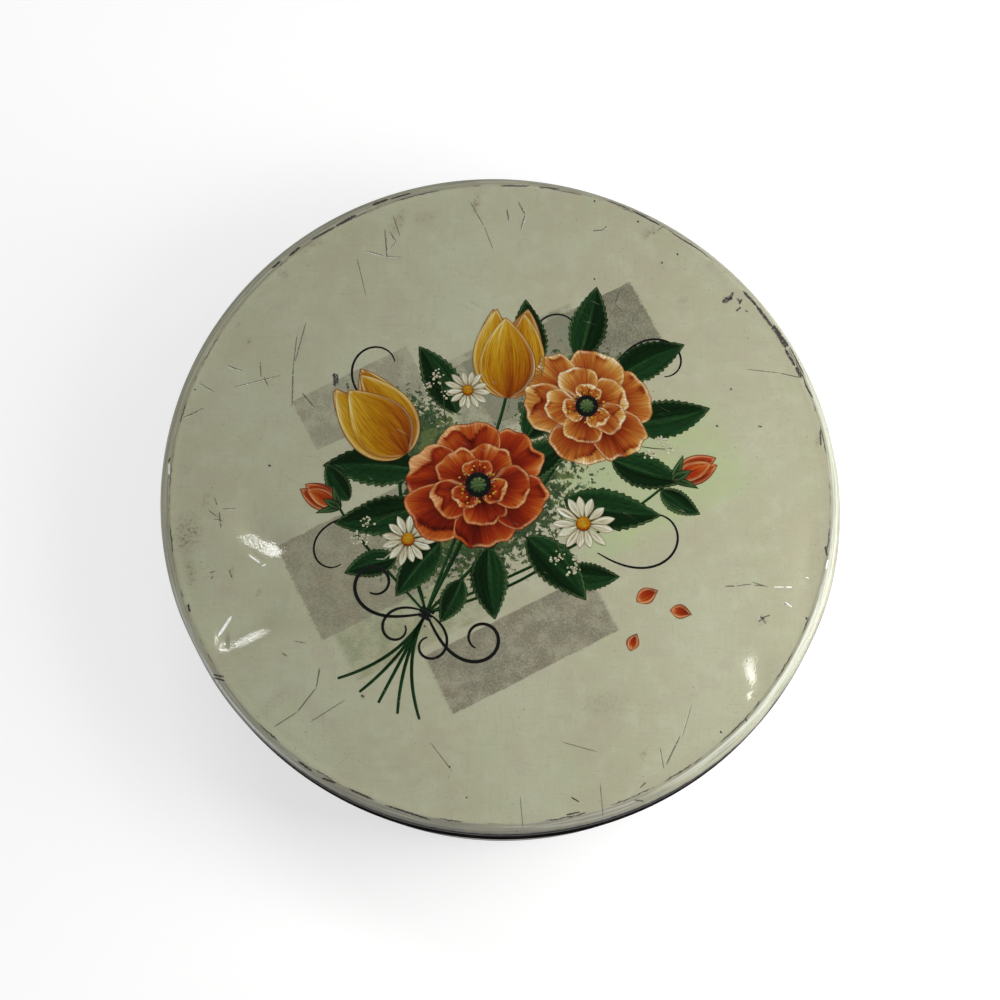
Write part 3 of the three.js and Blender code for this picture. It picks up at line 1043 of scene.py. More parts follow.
scratched = use_group(tree, lid_scratches)["Mask"]
chipped = use_group(tree, lid_chips)["Mask"]
on_top = rise(axes["Z"], lid_top_mm - 0.7 * shoulder_mm, lid_top_mm - 1.0)
wavering = reckon("MULTIPLY_ADD", mottled(tree, 2.2, 7.0), 1.4, from_crease)
crease_line = rise(reckon("ABSOLUTE", reckon("SUBTRACT", wavering, 0.75)), 0.08, 0.34, 1.0, 0.0)
worn_crease = times(crease_line, rise(noise(outward, 9.0, 3.0, 0.6), 0.46, 0.60, 0.0, 0.95))
from_shoulder = reckon("SUBTRACT", axes["Z"], lid_top_mm - 1.3)
rim_look = {"Distance": from_shoulder, "Reach": 1.6, "Amount": 0.34, "Size": 1.3, "Seed": 18.0}
worn_rim = times(use_group(tree, edge_wear, **rim_look)["Mask"], rise(from_crease, 0.5, 1.5))
missing = largest(chipped, times(worn_crease, on_top), worn_rim)
rubbed_height = reckon("MULTIPLY_ADD", mottled(tree, 1.6, 27.0), 1.6, axes["Z"])
turn_line = reckon("MULTIPLY_ADD", mottled(tree, 3.0, 2.0), 0.9, axes["Z"])
turn_line = reckon("SUBTRACT", turn_line, rise(back, -0.90, -0.45, 0.95, 0.0))
skirt = rise(turn_line, bent_mm + 1.00, bent_mm + 1.35, 1.0, 0.0)
colour = layered(
    colour,
    (times(scratched, 0.85), scratch_dark),
    (rise(rubbed_height, bent_mm + 1.5, bent_mm + 3.3, 0.8, 0.0), rubbed_grey),
    (missing, bare_dark),
    # Painted highlights: white strokes that stand in for glare
    (use_group(tree, lid_painted_glints)["Mask"], painted_glint_white),
    # Grime and a painted shade darken the cream just above the black edge
    (rise(turn_line, bent_mm + 0.9, bent_mm + 2.6, 0.60, 0.0), grime_and_shade_black),
    (skirt, soot_black),
)
fill(shader["Base Color"], colour)
print("colours take", len(tree.nodes), "nodes")

# %% [markdown]
# Under a clear varnish the enamel is smooth, so the gloss is a coat over a softer base. The varnish is gone
# where paint is missing, and dull along the rim, most of all at the far side. It has the faint ripple called
# orange peel, and grains in the dented stretch at the left, which speckle the glare there.

# %% Varnish and relief of the lid
varnish_cover = 0.95
varnish_roughness = 0.055
varnish_index = 1.7
base_specular = 0.06


def bump(tree, shader, height, strength, depth):
    """Feeds a height to the shader's normals. depth is how tall a height of 1 is, in metres."""
    made = place(tree, "ShaderNodeBump", {"Height": height, "Strength": strength, "Distance": depth})
    fill(shader["Normal"], made.outputs["Normal"])
    fill(shader["Coat Normal"], made.outputs["Normal"])


gloss = reckon("MULTIPLY_ADD", patchy, 0.12, 0.46)
fill(shader["Roughness"], reckon("MULTIPLY_ADD", largest(missing, scuffs), 0.25, gloss))
rim_dulled = rise(from_crease, -1.0, 0.6, 0.0, rise(back, 0.1, 0.5, 0.55, 0.92))
dulled = largest(missing, skirt, rim_dulled, times(scuffs, 0.5))
fill(shader["Coat Weight"], rise(dulled, 0.0, 1.0, varnish_cover, 0.0))
clearer = rise(axes["X"], -60.0, 40.0, 0.032, varnish_roughness)
fill(shader["Coat Roughness"], rise(from_crease, -1.0, 0.6, clearer, 0.20))
fill(shader["Coat IOR"], varnish_index)
fill(shader["Specular IOR Level"], base_specular)
calm = rise(axes["Y"], 20.0, 75.0, 0.045, 0.008)
marks = times(largest(missing, scratched), -0.02)
height = reckon("MULTIPLY_ADD", noise(position, 1.6, 1.5, 0.5), calm, marks)
grainy = times(rise(axes["X"], -80.0, -60.0, 0.045, 0.0), rise(axes["Y"], 5.0, 20.0, 1.0, 0.0))
height = reckon("ADD", height, times(noise(position, 1.0, 2.5, 0.65), grainy))
height = reckon("SUBTRACT", height, use_group(tree, small_creases)["Depth"])
bump(tree, shader, height, 1.0, mm)
print("lid enamel has", len(tree.nodes), "nodes")

# %% [markdown]
# Bare tinplate is rolled steel with a bright skin of tin. Rolling leaves fine lines in one direction, which
# noise stretched a hundred times along that direction gives, and the tin cools in large soft grains. Years
# add a grey bloom, finger marks and small rust spots, most of them near the edges. It is a metal, so the
# colour is that of its reflections.

# %% Bare tinplate
tin_bright, tin_soft = (0.56, 0.55, 0.52), (0.47, 0.46, 0.43)
tin_lined, tin_bloomed = (0.36, 0.35, 0.33), (0.38, 0.36, 0.32)
tin_scored, rust_brown = (0.25, 0.24, 0.22), (0.120, 0.070, 0.035)

tin_grain, sockets, results = new_group("tin_grain", {"Heading": 0.0}, ["Lines", "Grains"])
rolled = rotated(place_in_mm(tin_grain), sockets["Heading"])
cells = place(tin_grain, "ShaderNodeTexVoronoi", {"Vector": rolled, "Scale": 0.14}, feature="SMOOTH_F1")
fill(results["Lines"], grains(rolled, (24.0, 0.22, 24.0), 3.0, 0.6))
fill(results["Grains"], cells.outputs["Distance"])


def bare_tinplate(name, heading, edge_height, seed):
    """Tinplate with its rolling lines along a heading, rusting near an edge at a height in mm."""
    made, tree, shader = new_material(name)
    grain = use_group(tree, tin_grain, Heading=heading)
    from_edge = reckon("SUBTRACT", axes_of(place_in_mm(tree))["Z"], edge_height)
    rust = use_group(tree, edge_wear, Distance=from_edge, Reach=4.0, Amount=0.44, Size=2.0, Seed=seed)["Mask"]
    rust = largest(rust, rise(mottled(tree, 1.8, seed + 9), 0.69, 0.74))
    scores = rubbed(tree, heading + 0.9, 50.0, 2.6, 0.010, 0.45)
    colour = layered(
        tin_bright,
        (rise(grain["Grains"], 0.1, 0.8), tin_soft),
        (rise(grain["Lines"], 0.35, 0.70, 0.0, 0.35), tin_lined),
        (rise(mottled(tree, 28.0, seed), 0.45, 0.70, 0.0, 0.45), tin_bloomed),
        (times(scores, 0.4), tin_scored),
        (times(rust, 0.85), rust_brown),
    )
    fill(shader["Base Color"], colour)
    fill(shader["Metallic"], rise(rust, 0.0, 1.0, 1.0, 0.1))
    dull = reckon("MULTIPLY_ADD", mottled(tree, 7.0, seed + 4), 0.22, 0.24)
    fill(shader["Roughness"], reckon("MULTIPLY_ADD", rust, 0.35, dull))
    height = reckon("MULTIPLY_ADD", grain["Lines"], 0.35, times(scores, -1.0))
    bump(tree, shader, height, 0.5, 0.012 * mm)
    return made


lid_tinplate = bare_tinplate("lid_inner_tinplate", 0.35, lid_rim / mm, 50.0)
body_tinplate = bare_tinplate("body_inner_tinplate", 1.57, base_panel_top / mm, 60.0)
base_tinplate = bare_tinplate("base_tinplate", 0.9, 1.0, 70.0)
print("tinplate made for lid, body and base")

# %% [markdown]
# The lid's skirt and the body's outside are black enamel, the skirt dull from years of hands and the body
# still glossier. It chips along the rim, the bead and the seam at the foot, and sliding the lid has rubbed
# fine lines into it.

# %% Black enamel of the skirt and the body
black_worn, black_rubbed, chip_grey = (0.024, 0.021, 0.018), (0.10, 0.095, 0.09), (0.23, 0.22, 0.20)


def black_enamel(name, gloss, edges):
    """Black enamel that chips near edges, each a height in mm, a reach and an amount."""
    made, tree, shader = new_material(name)
    axes = axes_of(place_in_mm(tree))
    patchy = mottled(tree, 11.0, 14.0)
    rubs = rubbed(tree, 0.2, 30.0, 2.2, 0.010, 0.46)
    chips = times(rise(mottled(tree, 0.9, 44.0), 0.70, 0.74), 0.6)
    for height, reach, amount in edges:
        look = {"Distance": reckon("SUBTRACT", axes["Z"], height), "Reach": reach, "Amount": amount}
        chips = largest(chips, use_group(tree, edge_wear, **look, Size=1.3, Seed=height)["Mask"])
    colour = layered(
        soot_black,
        (rise(patchy, 0.40, 0.75), black_worn),
        (times(rubs, 0.5), black_rubbed),
        (chips, chip_grey),
    )
    fill(shader["Base Color"], colour)
    fill(shader["Roughness"], reckon("MULTIPLY_ADD", patchy, 0.20, 0.34))
    fill(shader["Metallic"], rise(chips, 0.0, 1.0, 0.0, 0.6))
    fill(shader["Specular IOR Level"], gloss)
    height = reckon("MULTIPLY_ADD", mottled(tree, 2.2, 19.0), 0.15, times(largest(chips, rubs), -1.0))
    bump(tree, shader, height, 0.6, 0.03 * mm)
    return made


body_edges = ((seam_height / mm, 1.6, 0.46), (body_top / mm - 0.4, 1.8, 0.50), (0.4, 1.2, 0.42))
side_enamel = black_enamel("side_enamel", 0.30, body_edges)
skirt_enamel = black_enamel("skirt_enamel", 0.0, ((lid_rim / mm, 1.2, 0.34),))

for piece, finishes, node, rides_on, record_slot in (
    (lid, (lid_enamel, lid_tinplate, skirt_enamel), "lid_shell", "lid", "lid_enamel"),
    (body, (side_enamel, body_tinplate), "body_wall", "tin_body", "side_enamel"),
    (base, (base_tinplate, side_enamel), "base_disc", "tin_body", "bare_tinplate"),
):
    for finish in finishes:
        piece.data.materials.append(finish)
    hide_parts(node)
    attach(piece, rides_on)
print("three sheets dressed")

# %% [markdown]
# The print is a spray of garden flowers, made as real films of ink: each petal, leaf and line is a small
# grid of points laid on the lid's own relief, a few hundredths of a millimetre thick. The grid gives crisp
# edges, and a colour at each of its points gives the brushwork. A film is closed underneath, so it's a solid.

# %% Lay a film of ink on the lid
# A film's height over the lid, what each layer adds to it, and how deep the film's underside lies
film_base, film_step, film_foot = 0.030 * mm, 0.008 * mm, 0.060 * mm
# The turn that shows as a sharp edge, in degrees, and how far apart two films lie under the brush, in mm
film_sharp_turn, film_apart = 40, 5.3


def film_faces(rows, columns, first):
    """Faces of one film whose points start at a number: a top grid, the same grid below facing down, and
    walls along the four sides."""
    down = rows * columns
    here = first + np.arange(down).reshape(rows, columns)
    corners = (here[:-1, :-1], here[1:, :-1], here[1:, 1:], here[:-1, 1:])
    top = np.stack(corners, axis=-1).reshape(-1, 4)
    edge = np.concatenate([here[:, 0], here[-1, 1:], here[::-1, -1][1:], here[0, ::-1][1:]])
    walls = np.column_stack([edge[:-1], edge[:-1] + down, edge[1:] + down, edge[1:]])
    return [top, top[:, ::-1] + down, walls]


def brush_place(plane, number):
    """Where each point lies under the brush: how far along the film's middle, how far beside it on its widest
    row, both in mm, and a height of its own for each film, so that no two films share a stroke."""
    along = np.linalg.norm(np.diff(plane[:, plane.shape[1] // 2], axis=0), axis=-1).cumsum()
    steps = np.linalg.norm(np.diff(plane, axis=1), axis=-1)
    beside = steps[steps.sum(axis=1).argmax()].cumsum()
    along, beside = np.meshgrid(np.append(0, along), np.append(0, beside), indexing="ij")
    return np.stack([along, beside, np.full_like(along, film_apart * number)], axis=-1)


def ink_films(name, patches):
    """One object of many films. A patch is its grid of places on the lid in mm, its grid of colours, and its
    layer. A grid that runs clockwise is turned over, so that every film faces up."""
    points, colours, bristles, faces, first = [], [], [], [], 0
    for number, (plane, paint, layer) in enumerate(patches):
        step_down = plane[1:, :-1] - plane[:-1, :-1]
        step_across = plane[:-1, 1:] - plane[:-1, :-1]
        turn = (step_down[..., 0] * step_across[..., 1] - step_down[..., 1] * step_across[..., 0]).sum()
        if turn < 0:
            plane, paint = plane[::-1], paint[::-1]
        across, back = plane[..., 0] * mm, plane[..., 1] * mm
        ground = lid_top + lid_relief(across, back)
        high = np.stack([across, back, ground + film_base + layer * film_step], axis=-1)
        low = np.stack([across, back, ground - film_foot], axis=-1)
        points += [high.reshape(-1, 3), low.reshape(-1, 3)]
        colours += [paint.reshape(-1, 3)] * 2
        bristles += [brush_place(plane, number).reshape(-1, 3)] * 2
        faces += film_faces(*plane.shape[:2], first)
        first += 2 * plane.shape[0] * plane.shape[1]
    made = add_mesh(name, squeeze(np.vstack(points)), faces)
    tint = np.column_stack([np.clip(np.vstack(colours), 0, 1), np.ones(first)])
    ink = made.data.color_attributes.new("Ink", "FLOAT_COLOR", "POINT")
    ink.data.foreach_set("color", tint.astype(np.float32).ravel())
    brush = made.data.attributes.new("Brush", "FLOAT_VECTOR", "POINT")
    brush.data.foreach_set("vector", np.vstack(bristles).astype(np.float32).ravel())
    made.data.set_sharp_from_angle(angle=np.radians(film_sharp_turn))
    return made


# %% [markdown]
# A painter mixes a few tones for each flower and lays them in strokes from the dark throat to the light
# edge. Here a palette is four or five colours from dark to light, a tone from 0 to 1 picks between them, and
# the brushwork is a sum of sines across the petal that lean a little as they run outwards.

# %% Palettes and brushwork
dice = np.random.default_rng(7)

# Each row is one palette: red, green and blue of its five tones, from dark to light
poppy_red, peach, gold, leaf_green, sage_green, cream_white, line_black = np.reshape([
    0.04, 0.003, 0.001, 0.13, 0.008, 0.002, 0.262, 0.024, 0.004, 0.38, 0.088, 0.011, 0.6, 0.33, 0.14,
    0.095, 0.006, 0.001, 0.23, 0.034, 0.005, 0.34, 0.1, 0.014, 0.46, 0.24, 0.052, 0.68, 0.56, 0.34,
    0.12, 0.012, 0.001, 0.25, 0.062, 0.002, 0.345, 0.15, 0.003, 0.45, 0.26, 0.016, 0.62, 0.56, 0.28,
    0.0012, 0.006, 0.0012, 0.003, 0.015, 0.003, 0.007, 0.032, 0.008, 0.02, 0.062, 0.016, 0.085, 0.13, 0.048,
    0.008, 0.02, 0.006, 0.025, 0.05, 0.014, 0.06, 0.1, 0.03, 0.12, 0.165, 0.06, 0.22, 0.26, 0.12,
    0.16, 0.11, 0.04, 0.28, 0.23, 0.11, 0.4, 0.37, 0.23, 0.52, 0.5, 0.37, 0.64, 0.64, 0.53,
    0.004, 0.005, 0.004, 0.006, 0.007, 0.006, 0.01, 0.011, 0.01, 0.022, 0.024, 0.02, 0.06, 0.064, 0.055,
], (7, 5, 3))


def tint(palette, tone):
    """The palette's colours at even steps from tone 0 to 1, blended in between."""
    stops = np.linspace(0, 1, len(palette))
    tone = np.clip(tone, 0, 1)
    return np.stack([np.interp(tone, stops, palette[:, channel]) for channel in range(3)], axis=-1)


def strokes(out, across, finest=9):
    """Brush lines: the sum of sin(2 pi (f across + lean out) + phase) / sqrt(f) over a few random f."""
    total = 0
    for _ in range(6):
        frequency, phase = dice.uniform(1.0, finest), dice.uniform(0, 2 * np.pi)
        lean = dice.uniform(-0.6, 0.6)
        total = total + np.sin(2 * np.pi * (frequency * across + lean * out) + phase) / np.sqrt(frequency)
    return total / 2.2


def pair_grid(rows, columns, start=0.0):
    """Two grids: out, from start at the base to 1 at the tip, and across, from -1 to 1. Both crowd towards
    their ends, where the outline is drawn."""
    out = start + (1 - start) * np.sin(np.linspace(0, np.pi / 2, rows))
    across = np.sin(np.linspace(-np.pi / 2, np.pi / 2, columns))
    return np.meshgrid(out, across, indexing="ij")


def drawn_edge(colour, palette, edge_distance, line=0.28, light=0.75):
    """Draws a petal's outline: a dark line where the edge is nearer than about line, in mm, and a light one
    just inside it, which comes and goes as the brush ran dry."""
    dry = np.clip(0.55 + 0.45 * strokes(0, np.linspace(-1, 1, colour.shape[1]), 3), 0, 1)[None, :]
    glow = (0.75 * dry * bell(edge_distance - light, 0.60 * light))[..., None]
    dark = bell(edge_distance, line)[..., None]
    colour = colour * (1 - glow) + palette[-1] * glow
    return colour * (1 - 0.8 * dark) + palette[0] * 0.8 * dark


print("brush tones", strokes(0.5, np.linspace(-1, 1, 5)).round(2))

# %% [markdown]
# Broad petals, as a poppy has, are fans: the distance from the flower's heart times a rim that is full in
# the middle, rounded at its corners and ruffled. Pointed petals and leaves run along a bent midrib, with a
# width that swells and closes again. Both return a grid of places, the distance to their edge and the two
# directions that the brush follows.

# %% Shapes of petals and leaves
# How deep a leaf's teeth are, as a share of its width, and the least half width of its tip, in mm
tooth_size = 0.16
thinnest = 0.06


def direction(degrees):
    """The unit vector at an angle."""
    return np.array([np.cos(np.radians(degrees)), np.sin(np.radians(degrees))])


def fan_petal(heart, heading, spread, reach, squash=(1.0, 0.0), rows=30, columns=43):
    """Places at heart + r (cos a, sin a): a is the heading plus spread times across, drawn in towards the
    heart, and r is out times the rim, reach (1 - 0.5 |across|⁴) (1 + ruffle). The whole is then flattened to
    a share along a direction, as a flower seen aslant."""
    out, across = pair_grid(rows, columns, 0.05)
    ruffle = 0.030 * strokes(0, across, 3) + 0.012 * strokes(0, across, 8)
    rim = reach * (1 - 0.50 * np.abs(across) ** 4) * (1 + ruffle)
    sway = 3.0 * np.sin(2.2 * out + dice.uniform(0, 6))
    angle = np.radians(heading + spread * across * (0.62 + 0.38 * out) + sway)
    local = np.stack([out * rim * np.cos(angle), out * rim * np.sin(angle)], axis=-1)
    keep, slant = squash
    flat_way = direction(slant)
    local = local - (1 - keep) * (local @ flat_way)[..., None] * flat_way
    side = (1 - np.abs(across)) * out * rim * np.radians(spread)
    edge = np.minimum((1 - out) * rim, side)
    return np.array(heart) + local, edge, out, across


def blade(base, heading, length, width, bow=0.0, fullest=0.45, teeth=0, rows=40, columns=21):
    """Places at midrib + half width times across: the midrib is base + length (t along + bow t² sideways),
    and the half width is width sin(pi t^p), with p set so that it is fullest at a share of the length.
    Teeth are a saw wave on the width."""
    out, across = pair_grid(rows, columns, 0.0)
    along, sideways = direction(heading), direction(heading + 90)
    middle = np.array(base) + length * (out[..., None] * along + bow * (out**2)[..., None] * sideways)
    normal = sideways - (2 * bow * out)[..., None] * along
    normal /= np.linalg.norm(normal, axis=-1, keepdims=True)
    power = np.log(0.5) / np.log(fullest)
    half = width * np.sin(np.pi * np.clip(out, 0.0, 1.0) ** power) ** 0.85
    if teeth:
        half = half * (1 + tooth_size * ((out * teeth) % 1 - 0.5))
    half = np.maximum(half, thinnest)
    places = middle + (half * across)[..., None] * normal
    edge = np.minimum((1 - np.abs(across)) * half, 0.6 * (1 - out) * length + 0.05)
    return places, edge, out, across


def stroke_line(points, width, rows=60, taper=0.5):
    """A drawn line: a Bezier curve, the sum of each point times its Bernstein weight, with a width that
    thins to both ends. Returns its grid, three points wide, and the share along it."""
    share = np.linspace(0, 1, rows)[:, None]
    degree = len(points) - 1
    middle = sum(
        comb(degree, k) * share**k * (1 - share) ** (degree - k) * np.array(point, float)
        for k, point in enumerate(points)
    )
    return widened(middle, width, taper)


def widened(middle, width, taper=0.5):
    """The grid of a line of the given width about its middle points."""
    along = np.gradient(middle, axis=0)
    along /= np.linalg.norm(along, axis=1, keepdims=True)
    normal = to_the_left(along)
    share = np.linspace(0, 1, len(middle))
    half = width / 2 * (1 - taper + taper * np.sin(np.pi * share) ** 0.5)
    across = np.array([-1.0, -0.4, 0.4, 1.0])
    return middle[:, None] + half[:, None, None] * across[None, :, None] * normal[:, None], share, across


def curling_line(start, heading, length, first_curl, last_curl, rows=90):
    """A tendril's middle points: its heading turns by a rate that runs from first_curl to last_curl, in
    degrees for each mm, and the points are the running sum of its steps."""
    share = np.linspace(0, 1, rows)
    travel = length * share
    turned = np.radians(heading + first_curl * travel + (last_curl - first_curl) * travel * share / 2)
    steps = np.column_stack([np.cos(turned), np.sin(turned)]) * length / (rows - 1)
    return np.array(start) + np.cumsum(steps, axis=0) - steps[0]


def dot(centre, radius, rows=9):
    """A round dab: the square grid (s, t) goes to (s sqrt(1 - t²/2), t sqrt(1 - s²/2)) times the radius."""
    side = np.linspace(-1, 1, rows)
    first, second = np.meshgrid(side, side, indexing="ij")
    round_first, round_second = first * np.sqrt(1 - second**2 / 2), second * np.sqrt(1 - first**2 / 2)
    places = np.array(centre) + radius * np.stack([round_first, round_second], axis=-1)
    return places, round_first, round_second


print("a petal is", pair_grid(30, 43)[0].size, "points")

# %% [markdown]
# Each kind of flower is now a short function. A poppy has a ring of broad outer petals, a smaller ring set
# between them, and a dark heart of stamens round a green seed head. A tulip is seen from the side, its
# front petals over its back ones. A daisy is a ring of narrow petals round a button.

# %% Paint each kind of flower


def painted_fan(heart, heading, spread, reach, palette, squash, shade, hidden, layer):
    """A broad petal. It is dark where it comes out from under the ring above, at the share hidden, light at
    the rim, and has a fold of shade, and a lip that turns over and catches the light."""
    places, edge, out, across = fan_petal(heart, heading, spread, reach, squash)
    shown = np.clip((out - hidden) / (1 - hidden), 0, 1)
    fold = bell(across - dice.uniform(-0.6, 0.6), 0.15) * shown
    lit = bell(across - dice.uniform(-0.7, 0.7), 0.35) * shown
    tone = 0.04 + 0.56 * shown**0.8 + 0.10 * strokes(out, across) - 0.26 * fold + 0.24 * lit + shade
    lip = 0.20 * bell(across - dice.uniform(-0.6, 0.6), 0.42) * (1 + 0.3 * strokes(0, across, 2))
    lip = np.clip(lip * dice.choice([0.3, 1.0]), 0.0, 0.3)
    turned = smooth_rise(out, 1 - lip - 0.012, 1 - lip + 0.012) * (lip > 0.05)
    under = bell(np.clip(1 - lip - out, 0, 1), 0.07) * (lip > 0.05) * (1 - turned)
    tone = tone + turned * (0.20 + 0.08 * strokes(out, across, 6)) - 0.38 * under
    return places, drawn_edge(tint(palette, tone), palette, edge), layer


def poppy(heart, reach, palette, heading, squash, layer):
    """Six outer petals, five inner ones and the heart."""
    patches = []
    for k in range(6):
        way = heading + 60 * k + dice.uniform(-6, 6)
        size = reach * dice.uniform(0.93, 1.05)
        shade = 0.10 * np.sin(np.radians(way - 20))
        patches.append(painted_fan(heart, way, 43, size, palette, squash, shade, 0.52, layer + k))
    for k in range(5):
        way = heading + 25 + 72 * k + dice.uniform(-8, 8)
        size = reach * dice.uniform(0.60, 0.70)
        shade = 0.06 + 0.10 * np.sin(np.radians(way - 20))
        patches.append(painted_fan(heart, way, 46, size, palette, squash, shade, 0.44, layer + 6 + k))
    for k in range(3):
        way = heading + 60 + 120 * k + dice.uniform(-8, 8)
        patches.append(painted_fan(heart, way, 52, reach * 0.40, palette, squash, 0.04, 0.30, layer + 11 + k))
    return patches + poppy_heart(heart, 0.15 * reach, layer + 14)


def poppy_heart(heart, radius, layer):
    """A dark pool, a ring of stamens, each a short line with a dab at its end, and the seed head on top."""
    places, first, second = dot(heart, 1.15 * radius, 13)
    pool = tint(line_black, 0.15 + 0.3 * strokes(first, second))
    patches = [(places, pool, layer)]
    for k in range(22):
        way = 360 / 22 * k + dice.uniform(-7, 7)
        tip = np.array(heart) + radius * dice.uniform(1.35, 1.95) * direction(way)
        grid, _, _ = stroke_line([heart, tip], 0.30, 6, 0.1)
        patches.append((grid, tint(line_black, 0.3 + 0 * grid[..., 0]), layer + 1))
        places, _, second = dot(tip, dice.uniform(0.38, 0.62), 5)
        patches.append((places, tint(gold, 0.55 + 0.35 * second), layer + 2))
    places, first, second = dot(heart, 0.72 * radius, 15)
    spokes = np.cos(9 * np.arctan2(second, first)) * np.hypot(first, second)
    head = tint(sage_green, 0.45 + 0.30 * spokes + 0.25 * second - 0.3 * np.hypot(first, second) ** 4)
    return patches + [(places, head, layer + 2)]


def painted_blade(base, heading, length, width, palette, layer, bow=0.0, fullest=0.45, shade=0.0, lean=0.1):
    """A pointed petal: strokes that run along it, a dark foot, a light tip, and one side lighter by lean."""
    places, edge, out, across = blade(base, heading, length, width, bow, fullest)
    tone = 0.08 + 0.62 * out**0.8 + 0.12 * strokes(0.4 * out, across, 7) + lean * across + shade
    tone = tone - 0.20 * bell(across, 0.09) * (1 - out) - 0.16 * bell(out - 1, 0.05)
    return places, drawn_edge(tint(palette, tone), palette, edge, 0.26, 0.70), layer


# Each tulip petal: turn, shares of length and width, bow, where it is fullest, shade and lean
tulip_petals = (
    (15, 1.00, 0.85, -0.08, 0.50, -0.22, 0.05),
    (-15, 1.02, 0.85, 0.08, 0.50, -0.26, -0.05),
    (27, 0.95, 0.92, -0.34, 0.42, 0.00, 0.28),
    (-27, 0.92, 0.92, 0.34, 0.42, -0.08, -0.26),
    (2, 0.90, 1.12, 0.02, 0.40, 0.06, 0.20),
)


def tulip(base, heading, length, palette, layer):
    """Two petals behind, two at the sides and one in front, each darker towards the one that covers it."""
    width = 0.27 * length
    return [
        painted_blade(base, heading + turn, length * tall, width * wide, palette, layer + k, *look)
        for k, (turn, tall, wide, *look) in enumerate(tulip_petals)
    ]


# Each blade of a bud, three petals and three of the cup: turn, shares of the length for its length and its
# half width, layer, bow, where it is fullest, and shade
bud_petals = (
    (11, 1.00, 0.23, 0, -0.12, 0.5, -0.15), (-11, 0.96, 0.23, 1, 0.12, 0.5, -0.05),
    (0, 0.88, 0.20, 2, 0.0, 0.5, 0.08),
)
bud_cup = (
    (30, 0.55, 0.08, 3, 0.2, 0.4, 0.12), (-30, 0.55, 0.08, 3, -0.2, 0.4, 0.05),
    (2, 0.45, 0.10, 4, 0.0, 0.4, 0.10),
)


def bud(base, heading, length, palette, layer):
    """Three petals wrapped round each other in a green cup."""
    return [
        painted_blade(base, heading + turn, length * tall, length * wide, paint, layer + up, *look)
        for paint, blades in ((palette, bud_petals), (leaf_green, bud_cup))
        for turn, tall, wide, up, *look in blades
    ]


def daisy(centre, reach, heading, squash, layer):
    """Thirteen narrow petals and a gold button."""
    patches = []
    keep, slant = squash
    for k in range(13):
        way = heading + 360 / 13 * k + dice.uniform(-4, 4)
        slanted = 1 - (1 - keep) * np.cos(np.radians(way - slant)) ** 2
        length = reach * dice.uniform(0.9, 1.05) * slanted
        foot = np.array(centre) + 0.12 * reach * direction(way)
        petal = painted_blade(foot, way, length, 0.155 * reach, cream_white, layer + k % 3, 0.04, 0.62, 0.08)
        patches.append(petal)
    places, first, second = dot(centre, 0.27 * reach, 15)
    dimple = np.hypot(first, second)
    button = tint(gold, 0.62 + 0.25 * second - 0.5 * dimple**3 + 0.12 * strokes(first * 3, second * 3, 6))
    return patches + [(places, button, layer + 4)]


bouquet_hearts = {"red": (-8, 2), "peach": (33, 33)}
print("hearts", bouquet_hearts)

# %% [markdown]
# Leaves are blades with teeth, one half in light and one in shade, a pale midrib and side veins that slant
# towards the tip. Stems and tendrils are drawn lines. Small white blossom is dabs on fine twigs.

# %% Paint leaves, stems and small blossom


def leaf(base, heading, length, width, bow, layer, palette=leaf_green):
    """A toothed leaf, one half in light, with strokes, a rib, and veins where 9 out - 2.2 |across| is near
    half past a whole number."""
    places, edge, out, across = blade(base, heading, length, width, bow, 0.42, 13, 66, 25)
    vein = ((9 * out - 2.2 * np.abs(across)) % 1) - 0.5
    veins = bell(vein, 0.10) * (1 - np.abs(across) ** 2)
    rib = bell(across, 0.09) * (1 - 0.6 * out)
    light_half = smooth_rise(across * dice.choice([-1, 1]), -0.12, 0.12)
    tone = 0.20 + 0.24 * light_half + 0.13 * strokes(0.5 * out, across, 6) - 0.13 * veins
    tone = tone + 0.20 * light_half * np.abs(across) ** 3 + 0.40 * rib
    return places, drawn_edge(tint(palette, tone), palette, edge, 0.22, 0.55), layer


def stem(points, width, layer, palette=leaf_green):
    """A drawn line, lighter along one side."""
    grid, share, across = stroke_line(points, width, 60, 0.25)
    tone = 0.42 + 0.22 * across[None, :] + 0.08 * np.sin(9 * share)[:, None]
    return grid, tint(palette, tone), layer


def tendril(start, heading, length, first_curl, last_curl, width, layer, palette=line_black):
    """A curling line that thins towards its ends."""
    grid, share, across = widened(curling_line(start, heading, length, first_curl, last_curl), width, 0.6)
    tone = 0.25 + 0.2 * across[None, :] + 0.15 * share[:, None]
    return grid, tint(palette, tone), layer


def blossom(start, heading, length, layer):
    """A fine twig with tight clusters of small round white dabs."""
    patches = [tendril(start, heading, length, -1.2, 2.5, 0.34, layer, sage_green)]
    for share, aside in ((0.62, -2.8), (0.95, 0.6), (0.80, 3.4)):
        middle = np.array(start) + share * length * direction(heading) + aside * direction(heading + 90)
        for _ in range(14):
            centre = middle + dice.normal(0, 1.25, 2)
            places, _, second = dot(centre, dice.uniform(0.26, 0.56), 5)
            dab = tint(cream_white, 0.62 + 0.3 * second + dice.uniform(-0.1, 0.1))
            patches.append((places, dab, layer + 1))
    return patches


knot = (-27, -47)

